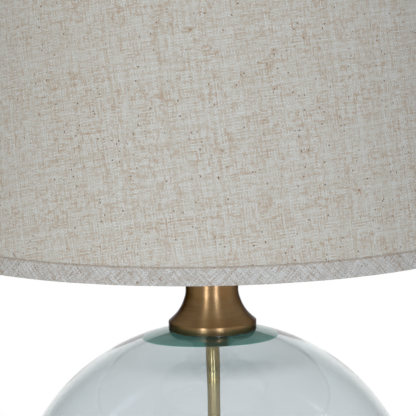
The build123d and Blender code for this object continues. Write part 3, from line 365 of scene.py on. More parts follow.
# %% [markdown]
# ## Bare and plated metals
#
# Nuts, washers, the screw shell and the bulb's cap are plain stamped or plated metal.
# They differ in colour and gloss, and share a fine grain left by the tool that made
# them, so one function makes them all.
#
# ## Moulded and coated pieces
#
# Nylon, rubber, phenolic, card, styrene and enamel are dielectrics: a colour under a
# surface that is more or less glossy. Moulding leaves a faint orange-peel relief. Metal
# and moulding share the mottled colour, so a small function of their own makes that.


# %% Bare metals and moulded pieces
def mottled(tree, place, hex_value, size, detail, dark, light):
    """A noise 'size' millimetres wide, and the colour made darker and lighter by it."""
    noise = add(tree, "ShaderNodeTexNoise",
                {"Vector": place, "Scale": 1 / (size * MM), "Detail": detail})[0]
    shade = add(tree, "ShaderNodeMapRange", {0: noise, 1: 0.3, 2: 0.7, 3: dark, 4: light})[0]
    skin = add(tree, "ShaderNodeMix", {0: 1.0, 6: colour(hex_value), 7: shade},
               data_type="RGBA", blend_type="MULTIPLY")[2]
    return noise, skin


def bare_metal(name, hex_value, roughness, grain):
    """Stamped or plated metal with a grain of that width in millimetres."""
    made, tree, place = start_material(name)
    specks, metal = mottled(tree, place, hex_value, grain, 3.0, 0.82, 1.06)
    gloss = add(tree, "ShaderNodeMapRange",
                {0: specks, 1: 0.3, 2: 0.7, 3: roughness + 0.08, 4: roughness - 0.05})[0]
    relief = add(tree, "ShaderNodeBump",
                 {"Height": specks, "Strength": 0.15, "Distance": 0.05 * MM})[0]
    shader = add(tree, "ShaderNodeBsdfPrincipled", {
        "Base Color": metal, "Metallic": 1.0, "Roughness": gloss, "Normal": relief})[0]
    add(tree, "ShaderNodeOutputMaterial", {"Surface": shader})
    return made


def moulded(name, hex_value, roughness, peel, ior=1.5, clear=0.0):
    """Plastic, rubber, card or enamel with a relief of that width in millimetres."""
    made, tree, place = start_material(name)
    bumps, skin = mottled(tree, place, hex_value, peel, 2.0, 0.93, 1.03)
    relief = add(tree, "ShaderNodeBump",
                 {"Height": bumps, "Strength": 0.1, "Distance": 0.1 * MM})[0]
    shader = add(tree, "ShaderNodeBsdfPrincipled", {
        "Base Color": skin, "Roughness": roughness, "Normal": relief, "IOR": ior,
        "Transmission Weight": clear})[0]
    add(tree, "ShaderNodeOutputMaterial", {"Surface": shader})
    return made


# %% [markdown]
# ## Wool felt and cast iron
#
# The pad under the foot is pressed felt: short fibres that lie every way, with a
# velvety edge of light where it is seen at a low angle. Sheen gives that edge. The weight
# in the foot is sand-cast and left rough, so it takes its grain from sand about a
# millimetre across, is dull and almost black, and has a little rust.

# %% Wool felt
FIBRE = 0.8                   # millimetres: a clump of fibres, as one is too fine to show

felt, tree, place = start_material("pressed wool felt")
fibres = add(tree, "ShaderNodeTexNoise", {
    "Vector": place, "Scale": 1 / (FIBRE * MM), "Detail": 6.0, "Distortion": 2.5})[0]
wool = add(tree, "ShaderNodeMix", {0: fibres, 6: colour("#2C2621"), 7: colour("#4A4037")},
           data_type="RGBA")[2]
nap = add(tree, "ShaderNodeBump", {"Height": fibres, "Strength": 0.6, "Distance": 0.4 * MM})[0]
shader = add(tree, "ShaderNodeBsdfPrincipled", {
    "Base Color": wool, "Roughness": 0.95, "Normal": nap, "Sheen Weight": 0.4})[0]
add(tree, "ShaderNodeOutputMaterial", {"Surface": shader})
print(f"{felt.name}: {len(tree.nodes)} nodes")

# %% Cast iron
SAND = 1.0                    # millimetres
RUST_PATCH = 14

iron, tree, place = start_material("sand-cast iron")
sand, rust = [add(tree, "ShaderNodeTexNoise",
                  {"Vector": place, "Scale": 1 / (size * MM), "Detail": detail})[0]
              for size, detail in ((SAND, 5.0), (RUST_PATCH, 3.0))]
rusty = add(tree, "ShaderNodeMapRange", {0: rust, 1: 0.55, 2: 0.75})[0]
skin = add(tree, "ShaderNodeMix", {0: rusty, 6: colour("#3A3937"), 7: colour("#573B2B")},
           data_type="RGBA")[2]
pits = add(tree, "ShaderNodeBump", {"Height": sand, "Strength": 0.7, "Distance": 0.3 * MM})[0]
shader = add(tree, "ShaderNodeBsdfPrincipled", {
    "Base Color": skin, "Metallic": 0.6, "Roughness": 0.7, "Normal": pits})[0]
add(tree, "ShaderNodeOutputMaterial", {"Surface": shader})
print(f"{iron.name}: {len(tree.nodes)} nodes")

# %% [markdown]
# ## Blown glass
#
# The globe is soda-lime glass with a little iron in it. A thin wall of it looks pale
# aqua, and a thick part looks deep blue-green, because the colour comes from the length
# of glass that the light has crossed. So most of the colour is in the volume, as an
# absorption per metre, and a weaker tint is on the surface. Glass would block the lamps
# for shadow rays, and leave a black shadow, so shadow rays pass straight through it,
# tinted.
#
# The flat underside of the crown was ground, so it is rough and milky. It is seen
# through the thick glass above it, as a deep blue-green band under the neck cap. A
# darker green stretch in the middle of its front is a painted shadow of the pipe, on the
# side that faces the camera. It belongs to the same piece of glass and has to close the
# same volume, so it is no second material: the height of that face, in Object
# coordinates, makes the shader rough there.

# %% Where the crown is ground, its colour there, and a painted shadow of the pipe
GLASS_CROWN_DEPTH = 9.7 * MM  # from the neck cap's rim down to the flat under the crown
GROUND_RADIUS = 60.0 * MM
GROUND_REACH = 0.4 * MM       # above and below that flat
CORD_SIZE = 9 * MM            # streaks of paler and deeper glass
# A painted shadow of the pipe on the ground face, on the camera's side: its middle, its half
# width, where it has faded out, and its strength.
PIPE_SHADOW_MIDDLE = 3 * MM           # the darker stretch: its middle, its half width, and
PIPE_SHADOW_FULL = 7 * MM             # where it has faded out
PIPE_SHADOW_FADED = 10 * MM
PIPE_SHADOW_STRENGTH = 0.85

crown_z = rim_z - GLASS_CROWN_DEPTH
glass, tree, place = start_material("blown aqua glass")
axes = add(tree, "ShaderNodeSeparateXYZ", {0: place})
level = add(tree, "ShaderNodeMath", {0: axes["Z"], 1: crown_z, 2: GROUND_REACH},
            operation="COMPARE")[0]
from_axis = add(tree, "ShaderNodeCombineXYZ", {0: axes["X"], 1: axes["Y"]})[0]
from_axis = add(tree, "ShaderNodeVectorMath", {0: from_axis}, operation="LENGTH")["Value"]
within = add(tree, "ShaderNodeMath", {0: from_axis, 1: GROUND_RADIUS}, operation="LESS_THAN")[0]
ground = add(tree, "ShaderNodeMath", {0: level, 1: within}, operation="MULTIPLY")[0]
cords = add(tree, "ShaderNodeTexNoise",
            {"Vector": place, "Scale": 1 / CORD_SIZE, "Detail": 2.0})[0]
milk = add(tree, "ShaderNodeMix", {0: cords, 6: colour("#7CC6BC"), 7: colour("#A8F0EA")},
           data_type="RGBA")[2]
# Painted shadow of the pipe: a darker green stretch across the front of the ground face.
off_shadow_middle = add(tree, "ShaderNodeMath", {0: axes["X"], 1: PIPE_SHADOW_MIDDLE}, operation="SUBTRACT")[0]
off_shadow_middle = add(tree, "ShaderNodeMath", {0: off_shadow_middle}, operation="ABSOLUTE")[0]
run = add(tree, "ShaderNodeMapRange",
          {0: off_shadow_middle, 1: PIPE_SHADOW_FADED, 2: PIPE_SHADOW_FULL, 4: PIPE_SHADOW_STRENGTH})[0]
front = add(tree, "ShaderNodeMath", {0: axes["Y"], 1: 0.0}, operation="LESS_THAN")[0]
run = add(tree, "ShaderNodeMath", {0: run, 1: front}, operation="MULTIPLY")[0]
milk = add(tree, "ShaderNodeMix", {0: run, 6: milk, 7: colour("#4C6250")}, data_type="RGBA")[2]
print(f"the crown is ground at {crown_z:.4f} m, out to {GROUND_RADIUS / MM:.0f} mm")

# %% Blown glass
GLASS_TINT = "#F0F2F5"
GROUND_ROUGHNESS = 0.6
GROUND_MILK = 0.9             # share of the light that the ground face scatters

skin = add(tree, "ShaderNodeMix", {0: ground, 6: colour(GLASS_TINT), 7: milk},
           data_type="RGBA")[2]
rough = add(tree, "ShaderNodeMath", {0: ground, 1: GROUND_ROUGHNESS}, operation="MULTIPLY")[0]
milky = add(tree, "ShaderNodeMath", {0: ground, 1: -GROUND_MILK, 2: 1.0},
            operation="MULTIPLY_ADD")[0]
clear = add(tree, "ShaderNodeBsdfPrincipled", {
    "Base Color": skin, "Roughness": rough, "IOR": 1.52, "Transmission Weight": milky})[0]
straight = add(tree, "ShaderNodeBsdfTransparent", {"Color": colour("#F2F6F5")})[0]
shadow = add(tree, "ShaderNodeLightPath")["Is Shadow Ray"]
surface = add(tree, "ShaderNodeMixShader", {0: shadow, 1: clear, 2: straight})[0]
depth = add(tree, "ShaderNodeVolumeAbsorption",
            {"Color": (0.083, 0.333, 0.283, 1.0), "Density": 24.0})[0]
add(tree, "ShaderNodeOutputMaterial", {"Surface": surface, "Volume": depth})
print(f"{glass.name}: {len(tree.nodes)} nodes")

# %% [markdown]
# ## Frosted bulb glass
#
# The bulb is etched inside, so it looks like milk glass: white, soft, with a gloss on
# its smooth outside.

# %% Frosted bulb glass
HAZE_SIZE = 20 * MM
LIGHT_SPREAD = 4 * MM         # how far light wanders inside before it comes out again

frosted, tree, place = start_material("frosted bulb glass")
haze = add(tree, "ShaderNodeTexNoise", {"Vector": place, "Scale": 1 / HAZE_SIZE, "Detail": 2.0})[0]
milk = add(tree, "ShaderNodeMix", {0: haze, 6: colour("#E9E8E3"), 7: colour("#F6F5F1")},
           data_type="RGBA")[2]
shader = add(tree, "ShaderNodeBsdfPrincipled", {
    "Base Color": milk, "Roughness": 0.28, "Subsurface Weight": 0.3,
    "Subsurface Radius": (LIGHT_SPREAD,) * 3, "Subsurface Scale": 1.0})[0]
add(tree, "ShaderNodeOutputMaterial", {"Surface": shader})
print(f"{frosted.name}: {len(tree.nodes)} nodes")

# %% [markdown]
# ## Linen
#
# The shade's cloth is plain-woven linen in its natural colour. Flax thread is uneven:
# it has slubs, thicker stretches of a browner colour, a few threads wide and up to
# fifteen millimetres long, and now and then a dark fleck of stalk. Both the warp and the
# weft have them, so the cloth shows short brown dashes both ways.
#
# A weave can be drawn from its map, which here is the flat pattern of the cloth in
# metres. Each thread gets a number by rounding its place down. A noise that takes that
# number and the place along the thread gives each thread its own slubs. A chequer of the
# two numbers says which thread lies on top. One node group does this, and the shade and
# the tape both use it. The real cloth has about 12 threads to the centimetre. They are
# drawn 1.05 mm apart, as coarse as the picture needs to show them.

# %% The weave: a number for each thread
THREAD = 1.05                 # millimetres from one thread to the next
BEND = 2.4                    # millimetres that a thread strays at most, over
BEND_LENGTH = 30              # this length

weave = start_group("Plain weave", "ShaderNodeTree", {"Cloth": "Vector"},
                    dict.fromkeys(("Slub", "Tone", "Fleck", "Height"), "Float"))
cloth = add(weave, "NodeGroupInput")["Cloth"]
in_mm = add(weave, "ShaderNodeVectorMath", {0: cloth, "Scale": 1 / MM}, operation="SCALE")[0]
drift = add(weave, "ShaderNodeTexNoise",
            {"Vector": in_mm, "Scale": 1 / BEND_LENGTH, "Detail": 1.0})["Color"]
drift = add(weave, "ShaderNodeVectorMath", {0: drift, "Scale": BEND}, operation="SCALE")[0]
bent = add(weave, "ShaderNodeVectorMath", {0: in_mm, 1: drift}, operation="ADD")[0]
counts = add(weave, "ShaderNodeVectorMath", {0: bent, "Scale": 1 / THREAD}, operation="SCALE")[0]
place = add(weave, "ShaderNodeSeparateXYZ", {0: counts})
numbers = [add(weave, "ShaderNodeMath", {0: place[i]}, operation="FLOOR")[0] for i in (0, 1)]
both = add(weave, "ShaderNodeMath", {0: numbers[0], 1: numbers[1]}, operation="ADD")[0]
on_top = add(weave, "ShaderNodeMath", {0: both, 1: 2.0}, operation="FLOORED_MODULO")[0]
print(f"{10 / THREAD:.1f} threads to the centimetre")

# %% The weave: slub, tone and height along each thread
SLUB_LENGTH = 9.0             # millimetres
THREAD_SEED = 13.73           # keeps the noises of neighbouring threads apart
WEFT_SEED = 517.3             # and those of the weft apart from the warp's

threads = []
for across, along, offset in ((0, 1, 0.0), (1, 0, WEFT_SEED)):
    within = add(weave, "ShaderNodeMath", {0: place[across]}, operation="FRACT")[0]
    bow = add(weave, "ShaderNodeMath", {0: within, 1: pi}, operation="MULTIPLY")[0]
    bow = add(weave, "ShaderNodeMath", {0: bow}, operation="SINE")[0]
    own = add(weave, "ShaderNodeMath", {0: numbers[across], 1: THREAD_SEED, 2: offset},
              operation="MULTIPLY_ADD")[0]
    run = add(weave, "ShaderNodeMath", {0: place[along], 1: THREAD / SLUB_LENGTH},
              operation="MULTIPLY")[0]
    spot = add(weave, "ShaderNodeCombineXYZ", {0: own, 1: run})[0]
    slubs = add(weave, "ShaderNodeTexNoise",
                {"Vector": spot, "Scale": 1.0, "Detail": 2.0, "Roughness": 0.65},
                noise_dimensions="2D")[0]
    slub = add(weave, "ShaderNodeMapRange", {0: slubs, 1: 0.47, 2: 0.74},
               interpolation_type="SMOOTHSTEP")[0]
    tone = add(weave, "ShaderNodeTexWhiteNoise", {"W": own}, noise_dimensions="1D")["Value"]
    threads.append((slub, tone, bow))
print(f"slubs about {SLUB_LENGTH:.0f} mm long on warp and weft")

# %% The weave: what shows
UNDER_SHOWS = 0.55            # share of a slub's colour left where it passes under
FLECKS = (0.992, 0.9985)      # a crossing whose dice falls past here has a fleck

mixed = [add(weave, "ShaderNodeMix", {0: on_top, 2: a, 3: b})[0] for a, b in zip(*threads)]
# A slub is thick enough to show a little where it passes under, so it stays one dash.
under = add(weave, "ShaderNodeMath", {0: threads[0][0], 1: threads[1][0]},
            operation="MAXIMUM")[0]
mixed[0] = add(weave, "ShaderNodeMix", {0: UNDER_SHOWS, 2: mixed[0], 3: under})[0]
cell = add(weave, "ShaderNodeCombineXYZ", {0: numbers[0], 1: numbers[1]})[0]
dice = add(weave, "ShaderNodeTexWhiteNoise", {"Vector": cell}, noise_dimensions="2D")["Value"]
fleck = add(weave, "ShaderNodeMapRange", {0: dice, 1: FLECKS[0], 2: FLECKS[1]})[0]
add(weave, "NodeGroupOutput",
    {"Slub": mixed[0], "Tone": mixed[1], "Fleck": fleck, "Height": mixed[2]})
print(f"{weave.name}: {len(weave.nodes)} nodes")

# %% Linen, as a material
PATCH_SIZE = 22 * MM          # stretches of cloth with more and fewer slubs
# A thin brown line along each folded edge, partly glue and partly painted shadow: its width and
# its strength.
GLUE_AND_SHADOW_LINE = 1.2 * MM
GLUE_AND_SHADOW_SHARE = 0.5


def linen(name, pale, ground, slub_colour, turn, edges=()):
    """Natural linen whose threads are turned by an angle on the cloth's own map, with a
    faint brown line of glue and painted shadow where a folded edge lies at each
    of the heights."""
    made, tree, place = start_material(name)
    flat = add(tree, "ShaderNodeUVMap", uv_map="UVMap")[0]
    turned = add(tree, "ShaderNodeMapping", {"Vector": flat, "Rotation": (0, 0, radians(turn))})[0]
    yarn = add(tree, "ShaderNodeGroup", {"Cloth": turned}, node_tree=weave)
    slub, tone, fleck, height = (yarn[k] for k in ("Slub", "Tone", "Fleck", "Height"))
    patches = add(tree, "ShaderNodeTexNoise",
                  {"Vector": turned, "Scale": 1 / PATCH_SIZE, "Detail": 3.0})[0]
    base = add(tree, "ShaderNodeMix", {0: tone, 6: colour(pale), 7: colour(ground)},
               data_type="RGBA")[2]
    amount = add(tree, "ShaderNodeMapRange", {0: patches, 1: 0.3, 2: 0.7, 3: 0.35, 4: 0.85})[0]
    amount = add(tree, "ShaderNodeMath", {0: amount, 1: slub}, operation="MULTIPLY")[0]
    dyed = add(tree, "ShaderNodeMix", {0: amount, 6: base, 7: colour(slub_colour)},
               data_type="RGBA")[2]
    dyed = add(tree, "ShaderNodeMix", {0: fleck, 6: dyed, 7: colour("#7B6450")},
               data_type="RGBA")[2]
    # Painted shade: the colour darkens where a thread dips, in the gaps between threads.
    painted_gap_shade = add(tree, "ShaderNodeMapRange", {0: height, 1: 0.0, 2: 0.6, 3: 0.86, 4: 1.0})[0]
    dyed = add(tree, "ShaderNodeMix", {0: 1.0, 6: dyed, 7: painted_gap_shade},
               data_type="RGBA", blend_type="MULTIPLY")[2]
    up = add(tree, "ShaderNodeSeparateXYZ", {0: place})["Z"]
    # Glue and painted shadow: a thin brown line along each folded edge.
    for edge_z in edges:
        line = add(tree, "ShaderNodeMath", {0: up, 1: edge_z, 2: GLUE_AND_SHADOW_LINE / 2},
                   operation="COMPARE")[0]
        line = add(tree, "ShaderNodeMath", {0: line, 1: GLUE_AND_SHADOW_SHARE}, operation="MULTIPLY")[0]
        dyed = add(tree, "ShaderNodeMix", {0: line, 6: dyed, 7: colour("#96826C")},
                   data_type="RGBA")[2]
    raised = add(tree, "ShaderNodeMath", {0: slub, 1: 0.5, 2: height},
                 operation="MULTIPLY_ADD")[0]
    relief = add(tree, "ShaderNodeBump",
                 {"Height": raised, "Strength": 0.5, "Distance": 0.25 * MM})[0]
    shader = add(tree, "ShaderNodeBsdfPrincipled", {
        "Base Color": dyed, "Roughness": 0.85, "Normal": relief,
        "Specular IOR Level": 0.25, "Sheen Weight": 0.15})[0]
    add(tree, "ShaderNodeOutputMaterial", {"Surface": shader})
    return made


# %% The shade's linen and the tape's
TAPE_HEIGHT = 13.4 * MM       # up the outside of the shade
BIAS = 45                     # degrees that the tape's threads are turned by

shade_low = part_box("bottom_trim")[0].z
shade_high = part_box("top_trim")[1].z
shade_linen = linen("natural slub linen", "#C5C6C2", "#B5B1A5", "#A3876A", 0)
tape_linen = linen("bias linen tape", "#C5C6C5", "#A9A8A2", "#8C6F52", BIAS,
                   edges=(shade_low + TAPE_HEIGHT - GLUE_AND_SHADOW_LINE / 2,
                          shade_high - TAPE_HEIGHT + GLUE_AND_SHADOW_LINE / 2))
print(f"{shade_linen.name}, {tape_linen.name}, from {shade_low:.3f} to {shade_high:.3f} m")

# %% [markdown]
# ## One material for each finish
#
# The frame names each piece's finish. This table gives each of those names its
# material, and every piece of the frame takes its own from it. Pieces that are made again
# further down replace theirs.

# %% One material for each finish
finishes = {
    "felt": felt,
    "antique_brass": antique_brass,
    "cast_iron": iron,
    "nylon": moulded("white nylon", "#E8E5DC", 0.45, 1.5),
    "brass_pipe": pipe_brass,
    "zinc_steel": bare_metal("zinc-plated steel", "#B9BCC0", 0.35, 0.6),
    "brass_nut": bare_metal("turned brass", "#C79F5B", 0.28, 0.5),
    "aqua_glass": glass,
    "rubber": moulded("black rubber", "#232323", 0.75, 0.8),
    "clear_vinyl": moulded("clear vinyl", "#8FA9A3", 0.15, 3.0, ior=1.4, clear=0.9),
    "nickel_steel": bare_metal("nickel-plated steel", "#C6C1B6", 0.25, 0.6),
    "polished_brass": bare_metal("polished brass", "#D3AA5E", 0.16, 2.0),
    "card": moulded("insulating card", "#B79B72", 0.9, 0.7),
    "phenolic": moulded("brown phenolic", "#2E1E17", 0.32, 2.0),
    "shell_aluminium": bare_metal("stamped aluminium", "#CBCDD0", 0.3, 0.8),
    "solder": bare_metal("tin solder", "#A9ABAD", 0.4, 0.9),
    "bulb_black_glass": moulded("black cap glass", "#141518", 0.12, 4.0),
    "frosted_glass": frosted,
    "white_enamel_wire": moulded("white enamelled wire", "#E9E7E0", 0.3, 2.5),
    "white_styrene": moulded("white styrene film", "#EFECE4", 0.5, 6.0),
    "linen": shade_linen,
    "linen_tape": tape_linen,
}
for node in nodes.values():
    node.data.materials[0] = finishes[node.data.materials[0].name]
# The bush in the crown shows through the glass, and is a dark one.
nodes["upper_bush"].data.materials[0] = moulded("dark nylon", "#4B4A3A", 0.4, 1.5)
print(f"{len(finishes)} finishes on {len(nodes)} pieces")

# %% [markdown]
# ## Outlines of turned pieces
#
# A globe, a bell and a band of tape round an edge are all the same kind of thing: an
# outline carried round an axis. The outline is a run of points, each a radius and a
# height. Sharp corners don't exist on real things, so a helper rounds each corner
# with an arc, and adds a point just before and after it, which keeps the shading of the
# flat beside it flat. A second helper draws a smooth curve through a few points.

# %% Outlines
GUARD = 1.5                   # the added point lies this many reaches of the arc away,
GUARD_LIMIT = 0.45            # and at most at this share of the side


def rounded(corners, closed=False, steps=5):
    """Rounds the corners of an outline. Each corner is (radius, height, rounding)."""
    spots = [Vector(c[:2]) for c in corners]
    points = []
    for i, here in enumerate(spots):
        fillet = corners[i][2]
        if fillet == 0:
            points.append(here)
            continue
        back = spots[i - 1] - here
        on = spots[(i + 1) % len(spots)] - here
        half_angle = back.angle(on) / 2
        reach = fillet / tan(half_angle)
        back_way, on_way = back.normalized(), on.normalized()
        centre = here + (back_way + on_way).normalized() * fillet / sin(half_angle)
        first = here + back_way * reach - centre
        last = here + on_way * reach - centre
        points.append(here + back_way * min(GUARD * reach, GUARD_LIMIT * back.length))
        whole = first.angle(last)
        for step in range(steps + 1):
            share = step / steps
            arm = (sin((1 - share) * whole) * first + sin(share * whole) * last) / sin(whole)
            points.append(centre + arm)
        points.append(here + on_way * min(GUARD * reach, GUARD_LIMIT * on.length))
    return points + points[:1] if closed else points


def smooth_through(spots, start, end, steps=10):
    """A smooth curve through a few points, with the ways it starts and ends."""
    spots = [Vector(s) for s in spots]
    ways = [Vector(start).normalized()]
    for before, after in zip(spots, spots[2:]):
        ways.append((after - before).normalized())
    ways.append(Vector(end).normalized())
    points = spots[:1]
    for i in range(len(spots) - 1):
        a, b = spots[i], spots[i + 1]
        third = (b - a).length / 3
        points += interpolate_bezier(a, a + ways[i] * third, b - ways[i + 1] * third, b,
                                     steps + 1)[1:]
    return points


def ellipse_arc(centre_z, radius, half_height, low_z, high_z, steps):
    """Points up the outside of a spheroid, between two heights."""
    low = asin((low_z - centre_z) / half_height)
    high = asin((high_z - centre_z) / half_height)
    turns = [low + (high - low) * i / steps for i in range(steps + 1)]
    return [Vector((radius * cos(t), centre_z + half_height * sin(t))) for t in turns]


# %% [markdown]
# ## A lathe made of geometry nodes
#
# Blender's Screw modifier could turn an outline. A node tree does it too, and can also
# store a map and add a slight unevenness. It starts with a grid that has one row of points
# for each point of the outline and one column for each step round the axis. Every grid
# point looks up its outline point by its row, and turns it about the axis by its column.
# The map is stored while the first and last column are still two columns, so it has no
# smeared seam. After that the doubles are merged, and a noise can push the surface in and
# out along its normals by a named amount, as blown glass and folded cloth need.


# %% Two helpers for geometry trees
def store_map(tree, shape, across, up):
    """Keeps a flat place for each corner of the shape, as its UV map."""
    flat = add(tree, "ShaderNodeCombineXYZ", {0: across, 1: up})[0]
    flat = add(tree, "GeometryNodeFieldOnDomain", {0: flat}, data_type="FLOAT_VECTOR",
               domain="POINT")[0]
    return add(tree, "GeometryNodeStoreNamedAttribute",
               {0: shape, "Name": "UVMap", "Value": flat}, data_type="FLOAT2",
               domain="CORNER")[0]


def end_tree(tree, shape, material):
    """Ends a geometry tree: shaded smooth, all of it real, and in its material."""
    shape = add(tree, "GeometryNodeSetShadeSmooth", {0: shape})[0]
    shape = add(tree, "GeometryNodeRealizeInstances", {0: shape})[0]
    shape = add(tree, "GeometryNodeSetMaterial", {0: shape, "Material": material})[0]
    add(tree, "NodeGroupOutput", {0: shape})
    print(f"{tree.name}: {len(tree.nodes)} nodes")


# %% The lathe: a grid, turned
lathe = start_group("Turned piece", "GeometryNodeTree", {
    "Outline": "Geometry", "Segments": "Int", "Girth": "Float", "Ripple": "Float",
    "Ripple Size": "Float", "Seed": "Float", "Material": "Material"}, {"Piece": "Geometry"})
lathe.is_modifier = True
given = add(lathe, "NodeGroupInput")
rows = add(lathe, "GeometryNodeAttributeDomainSize", {0: given["Outline"]})["Point Count"]
columns = add(lathe, "FunctionNodeIntegerMath", {0: given["Segments"], 1: 1}, operation="ADD")[0]
grid = add(lathe, "GeometryNodeMeshGrid", {"Vertices X": columns, "Vertices Y": rows})["Mesh"]
index = add(lathe, "GeometryNodeInputIndex")[0]
column = add(lathe, "FunctionNodeIntegerMath", {0: index, 1: rows}, operation="DIVIDE_FLOOR")[0]
row = add(lathe, "FunctionNodeIntegerMath", {0: index, 1: rows}, operation="MODULO")[0]
share = add(lathe, "ShaderNodeMath", {0: column, 1: given["Segments"]}, operation="DIVIDE")[0]
angle = add(lathe, "ShaderNodeMath", {0: share, 1: tau}, operation="MULTIPLY")[0]
spot = add(lathe, "GeometryNodeSampleIndex",
           {0: given["Outline"], 1: add(lathe, "GeometryNodeInputPosition")[0], 2: row},
           data_type="FLOAT_VECTOR")[0]
turned = add(lathe, "ShaderNodeVectorRotate", {"Vector": spot, "Angle": angle},
             rotation_type="Z_AXIS")[0]
shape = add(lathe, "GeometryNodeSetPosition", {0: grid, "Position": turned})[0]
print(f"{lathe.name}: {len(lathe.nodes)} nodes so far")

# %% The lathe: map, doubles and ripple
DOUBLES = 1e-6                # points closer than this are one

length = add(lathe, "GeometryNodeInputNamedAttribute", {"Name": "along"}, data_type="FLOAT")[0]
along = add(lathe, "GeometryNodeSampleIndex",
            {0: given["Outline"], 1: length, 2: row}, data_type="FLOAT")[0]
around = add(lathe, "ShaderNodeMath", {0: share, 1: given["Girth"]}, operation="MULTIPLY")[0]
shape = store_map(lathe, shape, around, along)
shape = add(lathe, "GeometryNodeMergeByDistance", {0: shape, "Distance": DOUBLES})[0]
fine = add(lathe, "ShaderNodeMath", {0: 1.0, 1: given["Ripple Size"]}, operation="DIVIDE")[0]
noise = add(lathe, "ShaderNodeTexNoise",
            {"Vector": add(lathe, "GeometryNodeInputPosition")[0], "W": given["Seed"],
             "Scale": fine, "Detail": 1.0}, noise_dimensions="4D")[0]
push = add(lathe, "ShaderNodeMath", {0: noise, 1: 0.5}, operation="SUBTRACT")[0]
push = add(lathe, "ShaderNodeMath", {0: push, 1: given["Ripple"]}, operation="MULTIPLY")[0]
push = add(lathe, "ShaderNodeVectorMath",
           {0: add(lathe, "GeometryNodeInputNormal")[0], "Scale": push}, operation="SCALE")[0]
shape = add(lathe, "GeometryNodeSetPosition", {0: shape, "Offset": push})[0]
end_tree(lathe, shape, given["Material"])


# %% Growing a piece from its outline
def grow(name, mesh, tree, inputs):
    """Runs a node tree on a mesh, and keeps the result as a plain mesh object."""
    piece = bpy.data.objects.new(name, mesh)
    modifier = piece.modifiers.new("Grow", "NODES")
    modifier.node_group = tree
    for item in tree.interface.items_tree:
        if item.in_out == "INPUT" and item.name in inputs:
            modifier[item.identifier] = inputs[item.name]
    scene.collection.objects.link(piece)
    depsgraph = bpy.context.evaluated_depsgraph_get()
    made = bpy.data.meshes.new_from_object(piece.evaluated_get(depsgraph), depsgraph=depsgraph)
    piece.modifiers.remove(modifier)
    piece.data = made
    made.name = name
    print(f"{name}: {len(made.polygons)} faces")
    return piece


def turned_piece(name, points, finish, body, node, segments=160, ripple=(0.0, 0.05, 0.0)):
    """A turned piece in the place of a node, from an outline in metres whose faces look
    out to its right. The ripple is its depth, its size and its seed."""
    mesh = bpy.data.meshes.new(name)
    edges = [(i, i + 1) for i in range(len(points) - 1)]
    mesh.from_pydata([(p[0], 0, p[1]) for p in points], edges, [])
    along = [0.0]
    for a, b in zip(points, points[1:]):
        along.append(along[-1] + (b - a).length)
    mesh.attributes.new("along", "FLOAT", "POINT").data.foreach_set("value", along)
    piece = grow(name, mesh, lathe, {
        "Segments": segments, "Girth": tau * max(p[0] for p in points), "Ripple": ripple[0],
        "Ripple Size": ripple[1], "Seed": ripple[2], "Material": finishes[finish]})
    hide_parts(node)
    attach(piece, body)
    return piece


# %% [markdown]
# ## The globe
#
# The glass was blown, so its wall is thin at the side and thick at the two ends, where
# it is cut flat: a solid floor below and a solid crown above. The flat underside of
# the crown is what shows through the glass as a deep blue-green band. Blown glass is
# never quite true, so the surface wanders by up to a tenth of a millimetre over some
# centimetres, and inside the crown is a little oval: it is narrower from front to back.
# A noise gives the first, and a loop over the points of the inner wall the second.

# %% The globe
GLASS_HALF_HEIGHT = 151.3 * MM
GLASS_WALL = 4.0 * MM
GLASS_FOOT_RADIUS = 60.0 * MM
GLASS_FLOOR = 10.0 * MM
GLASS_HOLE_RADIUS = 8.0 * MM
EDGE = 0.5 * MM               # cut edges are ground just off sharp
CROWN_ROUND = 6.0 * MM        # where the inside curves into the flat of the crown
GLASS_STEPS = 120             # points up each wall

glass_low, glass_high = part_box("glass_body")
glass_radius = glass_high.x
foot_share = sqrt(1 - (GLASS_FOOT_RADIUS / glass_radius) ** 2)
globe_z = glass_low.z + GLASS_HALF_HEIGHT * foot_share
floor_z = glass_low.z + GLASS_FLOOR
outside = ellipse_arc(globe_z, glass_radius, GLASS_HALF_HEIGHT, glass_low.z, glass_high.z,
                      GLASS_STEPS)
inside = ellipse_arc(globe_z, glass_radius - GLASS_WALL, GLASS_HALF_HEIGHT - GLASS_WALL,
                     floor_z, crown_z, GLASS_STEPS)
hole = GLASS_HOLE_RADIUS
outline = [(*p, 0) for p in outside[:-1]]
outline += [(hole, glass_high.z, EDGE), (hole, crown_z, EDGE)]
outline += [(*inside[-1], CROWN_ROUND)] + [(*p, 0) for p in inside[-2:0:-1]]
outline += [(*inside[0], EDGE), (hole, floor_z, EDGE), (hole, glass_low.z, EDGE)]
globe = turned_piece("glass_globe", rounded(outline, closed=True), "aqua_glass", "lamp_base",
                     "glass_body", segments=240, ripple=(0.14 * MM, 60 * MM, 3.0))

# %% The oval inside of the crown
CROWN_FLAT = 55.0 * MM        # the flat of the crown ends about here
OVAL_END = 90.0 * MM          # and past here the inside is round again
NARROWER = (0.03, 0.19)       # shares lost from side to side and from front to back
OFF_CENTRE = (-2.0 * MM, -0.5 * MM)
INNER = 0.02                  # the outer wall's points lie nearer to its spheroid


def smoothstep(start, end, value):
    """0 up to the start, 1 from the end on, and a smooth rise between."""
    share = min(max((value - start) / (end - start), 0), 1)
    return share * share * (3 - 2 * share)


